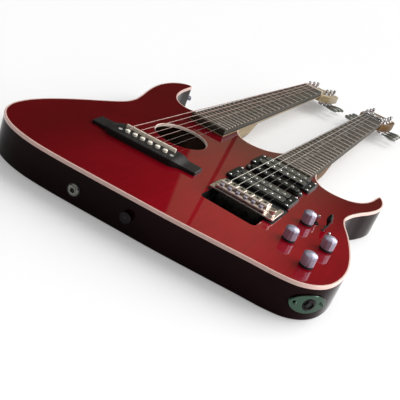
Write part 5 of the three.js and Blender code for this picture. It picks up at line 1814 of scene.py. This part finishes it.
@dataclass
class SideFittings:
    """The jacks and strap buttons in the sides of the body."""

    body: Body
    plate_length: float = 46
    plate_height: float = 23
    plate_z: float = 22
    plate_share: float = 0.7012
    end_jack_share: float = 0.4735
    end_jack_z: float = 18
    tail_share: float = 0.529
    button_z: float = 21
    plate_screw: float = 17
    tail_button: Flat = (6.6, 0.42)
    horn_button: Flat = (4.2, 0.55)

    def build(self) -> None:
        """Makes every fitting."""
        self.build_plate()
        self.build_end_jack()
        tail = self.body.side_place(self.tail_share, self.button_z)
        self.build_button("tail_strap_button", tail, *self.tail_button, BLACK_CHROME)
        self.build_button("horn_strap_button", self.horn_place(), *self.horn_button, SATIN_CHROME)

    def horn_place(self) -> Matrix:
        """Finds the strap button's seat on the blunt tip of the bass horn.

        Returns:
            A frame with Z out of the body.
        """
        first, last = Vector(OUTER_RUN[0]), Vector(BASS_CUTAWAY[-1])
        scale = Vector((self.body.width, self.body.length))
        return side_frame((first - last) * scale, (first + last) / 2 * scale, self.button_z)

    def build_plate(self) -> None:
        """Makes the eye-shaped jack plate, a little bent to the side, with its nut and screws."""
        run = self.body.run(OUTER_RUN)
        along = self.plate_share * (len(run) - 1)
        place = self.body.side_place(self.plate_share, self.plate_z)
        out = place.to_3x3() @ Vector((0, 0, 1))
        rings, steps = [], 48
        for i in range(steps + 1):
            turn = math.pi * i / steps
            reach = -self.plate_length / 2 * math.cos(turn)
            step = along + reach / math.dist(run[int(along)], run[int(along) + 1])
            k = int(step)
            foot = Vector(run[k]).lerp(Vector(run[k + 1]), step - k).to_3d() + Vector((0, 0, self.plate_z))
            flat = place @ Vector((reach, 0, 0))
            raised = foot.lerp(flat, 0.3)
            low = 0.2 - (raised - foot).dot(out)
            half = max(self.plate_height / 2 * math.sin(turn) ** 1.1, 0.3)
            edge = min(0.5, half * 0.4)
            thick = 0.6 + 1.1 * math.sin(turn) ** 0.5
            section = [(low, -half), (thick - 0.4, -half), (thick, -half + edge), (thick, half - edge),
                       (thick - 0.4, half), (low, half)]
            rings.append([raised + out * d + Vector((0, 0, z)) for d, z in section])
        plate = Shape().loft(rings)
        plate.turn([(0, 1), (7.6, 1), (7.6, 1.9), (7.1, 2.1), (4.6, 2.1), (4.6, 1), (0, 1)], 40, 2, place)
        plate.nut((6.4, 5.9, 4.7), 1.8, 3.3, 2, place)
        plate.turn([(0, 1.5), (4.7, 1.5), (4.7, 3.3), (3.7, 3.3), (3.7, 1.7), (0, 1.7)], 32, 2, place)
        # A flat black disc in the nut: painted shade in place of the socket's hole
        plate.rod(3.65, 1.6, 1.9, 32, 1, place)
        for x in (-self.plate_screw, self.plate_screw):
            plate.screw(1.9, 0.6, place @ shift(x, 0, 1.2))
        plate.fit("jack_plate_eye", [OLIVE_ZINC, BLACK_PAINT_AND_SHADE, BLACK_CHROME],
                  "chrome_plate", nodes=["jack_plate"])

    def build_end_jack(self) -> None:
        """Makes the round socket of the acoustic jack."""
        jack = Shape(self.body.side_place(self.end_jack_share, self.end_jack_z))
        jack.turn([(0, -3), (8, -3), (8, 0.7), (7.7, 0.9), (0, 0.9)], 48, 1)
        rim = [(0, 0.8), (6.8, 0.8), (6.8, 1.4), (6.3, 2.1), (5.2, 2.6), (4.9, 2.6), (4.8, 2.3), (4.6, 2.3),
               (4.4, 3), (3, 3), (2.8, 2.8), (2.8, 1), (0, 1)]
        jack.turn(rim, 48)
        # A flat black disc in the barrel: painted shade in place of its hole
        jack.rod(2.75, 0.9, 1.2, 32, 1)
        jack.fit("end_jack_socket", [SMOKED_NICKEL, BLACK_PAINT_AND_SHADE], "chrome_plate", nodes=["end_jack"])

    def build_button(self, node: str, place: Matrix, radius: float, rise: float, metal: Finish) -> None:
        """Makes a strap button with its screw.

        Args:
            node: The node that it stands for.
            place: Its seat, with Z out of the body.
            radius: Its head's radius.
            rise: Its height, as a share of 11.7 mm.
            metal: Its finish.
        """
        button = Shape(place)
        profile = [(0, -4), (0.46, -4), (0.46, 0), (0.77, 0), (0.77, 1.2), (0.66, 1.8), (0.53, 3.4),
                   (0.5, 5.5), (0.54, 7.6), (0.74, 9), (0.96, 9.4), (1, 10), (1, 10.9), (0.94, 11.4),
                   (0.8, 11.7), (0.49, 11.4), (0, 11.3)]
        button.turn([(share * radius, z * rise) for share, z in profile], 40)
        button.screw(radius * 0.45, 0.3, shift(0, 0, 11.4 * rise))
        button.fit(f"{node}_turned", [metal, BLACK_PAINT_AND_SHADE], "chrome_plate", nodes=[node])


@dataclass
class Studio:
    """The pale floor, the soft light and the camera.

    A light or share with four numbers goes from the third to the fourth while the way looked goes from
    the first to the second.
    """

    camera_place: Direction = (250.89, -684.51, 345.73)
    right: Direction = (0.82486, 0.45191, 0.33967)
    down: Direction = (0.48137, -0.24637, -0.84118)
    view: Direction = (-0.29646, 0.85737, -0.42076)
    lens: float = 58.32
    sensor: float = 36
    sight: float = 60
    floor_reach: float = 15000
    floor_glow: float = 0.2
    lamp_place: Direction = (900, 40, 170)
    lamp_aim: Direction = (0, 150, 0)
    lamp_size: float = 400
    lamp_power: float = 4
    sun_way: Direction = (-0.45, -0.7, -0.555)
    sun_power: float = 2.8
    sun_spread: float = 56
    wall_edge: Direction = (-0.9291, -0.3697, 0)
    wall_light: Ramp = (-0.002, 0.003, 0.28, 0.03)
    right_light: Ramp = (-0.2, -0.1, 1.0, 0.3)
    post_line: Direction = (0.955, 0.2796, 0.0983)
    post_half: float = 0.003
    post_light: float = 0.06
    ahead_share: Ramp = (0.1, 0.35, 0.0, 1.0)
    low_share: Ramp = (0.6, 0.72, 1.0, 0.0)
    upper_light: Ramp = (0.45, 0.75, 0.14, 0.85)
    soft_light: Ramp = (-1.0, 1.0, 0.1, 0.84)
    backdrop: float = 1.0
    warm_tint: Ramp = (0.95, 1.0, 0.65, 1.0)

    def build(self) -> None:
        """Sets up the floor, the world, the lamps, the camera and the view."""
        scene = bpy.context.scene
        scene.view_settings.view_transform = "Standard"
        self.build_floor()
        self.build_world()
        self.build_lights()
        data = bpy.data.cameras.new("camera")
        data.lens, data.sensor_width, data.clip_end = self.lens, self.sensor, self.sight
        camera = bpy.data.objects.new("camera", data)
        turn = Matrix((Vector(self.right), -Vector(self.down), -Vector(self.view))).transposed()
        camera.matrix_world = Matrix.Translation(Vector(self.camera_place) * MM) @ turn.to_4x4()
        scene.collection.objects.link(camera)
        scene.camera = camera

    def build_floor(self) -> None:
        """Makes a wide white floor that keeps the object's shadow, and is clear from below."""
        floor, reach = Shape(), self.floor_reach
        floor.points = lift([(-reach, -reach), (reach, -reach), (reach, reach), (-reach, reach)], -0.05)
        floor.faces, floor.slots = [(0, 1, 2, 3)], [0]
        paper = Finish("floor_paper_matt", "#E6E6E6", 0.9)
        piece = floor.build("floor", [paper])
        tree = paper.material().node_tree
        path = add_node(tree, "LightPath").outputs
        larger = {"operation": "MAXIMUM"}
        seen = add_node(tree, "Math", larger, {0: path["Is Camera Ray"], 1: path["Is Glossy Ray"]})
        seen = add_node(tree, "Math", larger, {0: seen, 1: path["Is Transmission Ray"]})
        glow = add_node(tree, "Math", {"operation": "MULTIPLY", 1: self.floor_glow}, {0: seen})
        light = add_node(tree, "Emission", {"Color": (1, 1, 1, 1)}, {"Strength": glow})
        upper = add_node(tree, "AddShader", links={0: tree.nodes["Principled BSDF"], 1: light})
        under = add_node(tree, "NewGeometry").outputs["Backfacing"]
        clear = add_node(tree, "BsdfTransparent")
        both = add_node(tree, "MixShader", links={0: under, 1: upper, 2: clear})
        tree.links.new(both.outputs[0], tree.nodes["Material Output"].inputs["Surface"])

    def build_world(self) -> None:
        """Makes a white backdrop, and a soft grey room with a dark side for the polish to mirror."""
        world = bpy.data.worlds.new("room")
        bpy.context.scene.world = world
        world.use_nodes = True
        tree = world.node_tree
        back = tree.nodes["Background"]
        times = {"operation": "MULTIPLY"}
        way = add_node(tree, "TexCoord").outputs["Generated"]
        edge = {"operation": "DOT_PRODUCT", 1: Vector(self.wall_edge)}
        side = add_node(tree, "VectorMath", edge, {0: way}).outputs["Value"]
        wall = add_node(tree, "MapRange", dict(enumerate(self.wall_light, 1)), {0: side})
        parts = add_node(tree, "SeparateXYZ", links={0: way}).outputs
        right = add_node(tree, "MapRange", dict(enumerate(self.right_light, 1)), {0: parts[0]})
        wall = add_node(tree, "Math", times, {0: wall, 1: right})
        line = {"operation": "DOT_PRODUCT", 1: Vector(self.post_line)}
        post = add_node(tree, "VectorMath", line, {0: way}).outputs["Value"]
        post = add_node(tree, "Math", {"operation": "COMPARE", 1: 0.0, 2: self.post_half}, {0: post})
        wall = add_node(tree, "Mix", {3: self.post_light}, {0: post, 2: wall})
        ahead = add_node(tree, "MapRange", dict(enumerate(self.ahead_share, 1)), {0: parts[1]})
        low = add_node(tree, "MapRange", dict(enumerate(self.low_share, 1)), {0: parts[2]})
        zone = add_node(tree, "Math", times, {0: ahead, 1: low})
        upper = add_node(tree, "MapRange", dict(enumerate(self.upper_light, 1)), {0: parts[2]})
        mirrored = add_node(tree, "Mix", links={0: zone, 2: upper, 3: wall})
        soft = add_node(tree, "MapRange", dict(enumerate(self.soft_light, 1)), {0: parts[1]})
        path = add_node(tree, "LightPath").outputs
        room = add_node(tree, "Mix", links={0: path["Is Glossy Ray"], 2: soft, 3: mirrored})
        rays = {0: path["Is Camera Ray"], 1: path["Is Transmission Ray"]}
        seen = add_node(tree, "Math", {"operation": "MAXIMUM"}, rays)
        level = add_node(tree, "Mix", {3: self.backdrop}, {0: seen, 2: room})
        tree.links.new(level.outputs[0], back.inputs["Strength"])
        tint = add_node(tree, "Math", times, {0: zone, 1: path["Is Glossy Ray"]})
        shades = {"data_type": "RGBA", 6: (1.0, 1.0, 1.0, 1.0), 7: self.warm_tint}
        colour = add_node(tree, "Mix", shades, {0: tint})
        tree.links.new(colour.outputs[2], back.inputs["Color"])

    def build_lights(self) -> None:
        """Adds the broad soft light from beyond the headstocks, and a soft square lamp at the side."""
        sky = bpy.data.lights.new("sky", "SUN")
        sky.energy, sky.angle = self.sun_power, math.radians(self.sun_spread)
        lamp = bpy.data.lights.new("side", "AREA")
        lamp.size, lamp.energy = self.lamp_size * MM, self.lamp_power
        place = Vector(self.lamp_place)
        hangings = ((sky, Vector(), Vector(self.sun_way)), (lamp, place, Vector(self.lamp_aim) - place))
        for light, where, way in hangings:
            hung = bpy.data.objects.new(light.name, light)
            hung.location = where * MM
            hung.rotation_mode = "QUATERNION"
            hung.rotation_quaternion = way.to_track_quat("-Z", "Y")
            bpy.context.scene.collection.objects.link(hung)


def main() -> None:
    """Builds the studio and the guitar in order."""
    logging.basicConfig(level=logging.INFO, format="%(name)s %(message)s")
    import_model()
    Studio().build()
    body = Body()
    body.build()
    bridge, tremolo = FlatTopBridge(), TremoloBridge()
    bridge.build()
    tremolo.build()
    tremolo.build_springs()
    thick_to_thin = (1.35, 1.07, 0.81, 0.61, 0.41, 0.33)
    starts = [bridge.string_start(i, d / 2) for i, d in enumerate(thick_to_thin)]
    Neck("acoustic", x=ACOUSTIC_X, nut_y=638, board_z=47.9, end_y=144, pitch=8, shelf=6, nut_depth=5,
         nut=NutKind.BONE, diameters=thick_to_thin, starts=starts, wound=BRONZE_WIRE,
         wound_slot="bronze_wire", shade_underlay=2.6).build()
    starts = [tremolo.string_start(i) for i in range(STRINGS)]
    Neck("electric", x=ELECTRIC_X, nut_y=SCALE, board_z=42.9, end_y=157, pitch=5.5, shelf=15, nut_depth=13,
         nut=NutKind.LOCKING, diameters=(1.17, 0.91, 0.66, 0.43, 0.33, 0.28), starts=starts,
         wound=NICKEL_WIRE, wound_slot="plain_steel", shade_underlay=2, wood=SHADED_MAPLE,
         string_span=(2, 19)).build()
    Pickups().build()
    Controls().build()
    SideFittings(body).build()


if __name__ == "__main__":
    main()
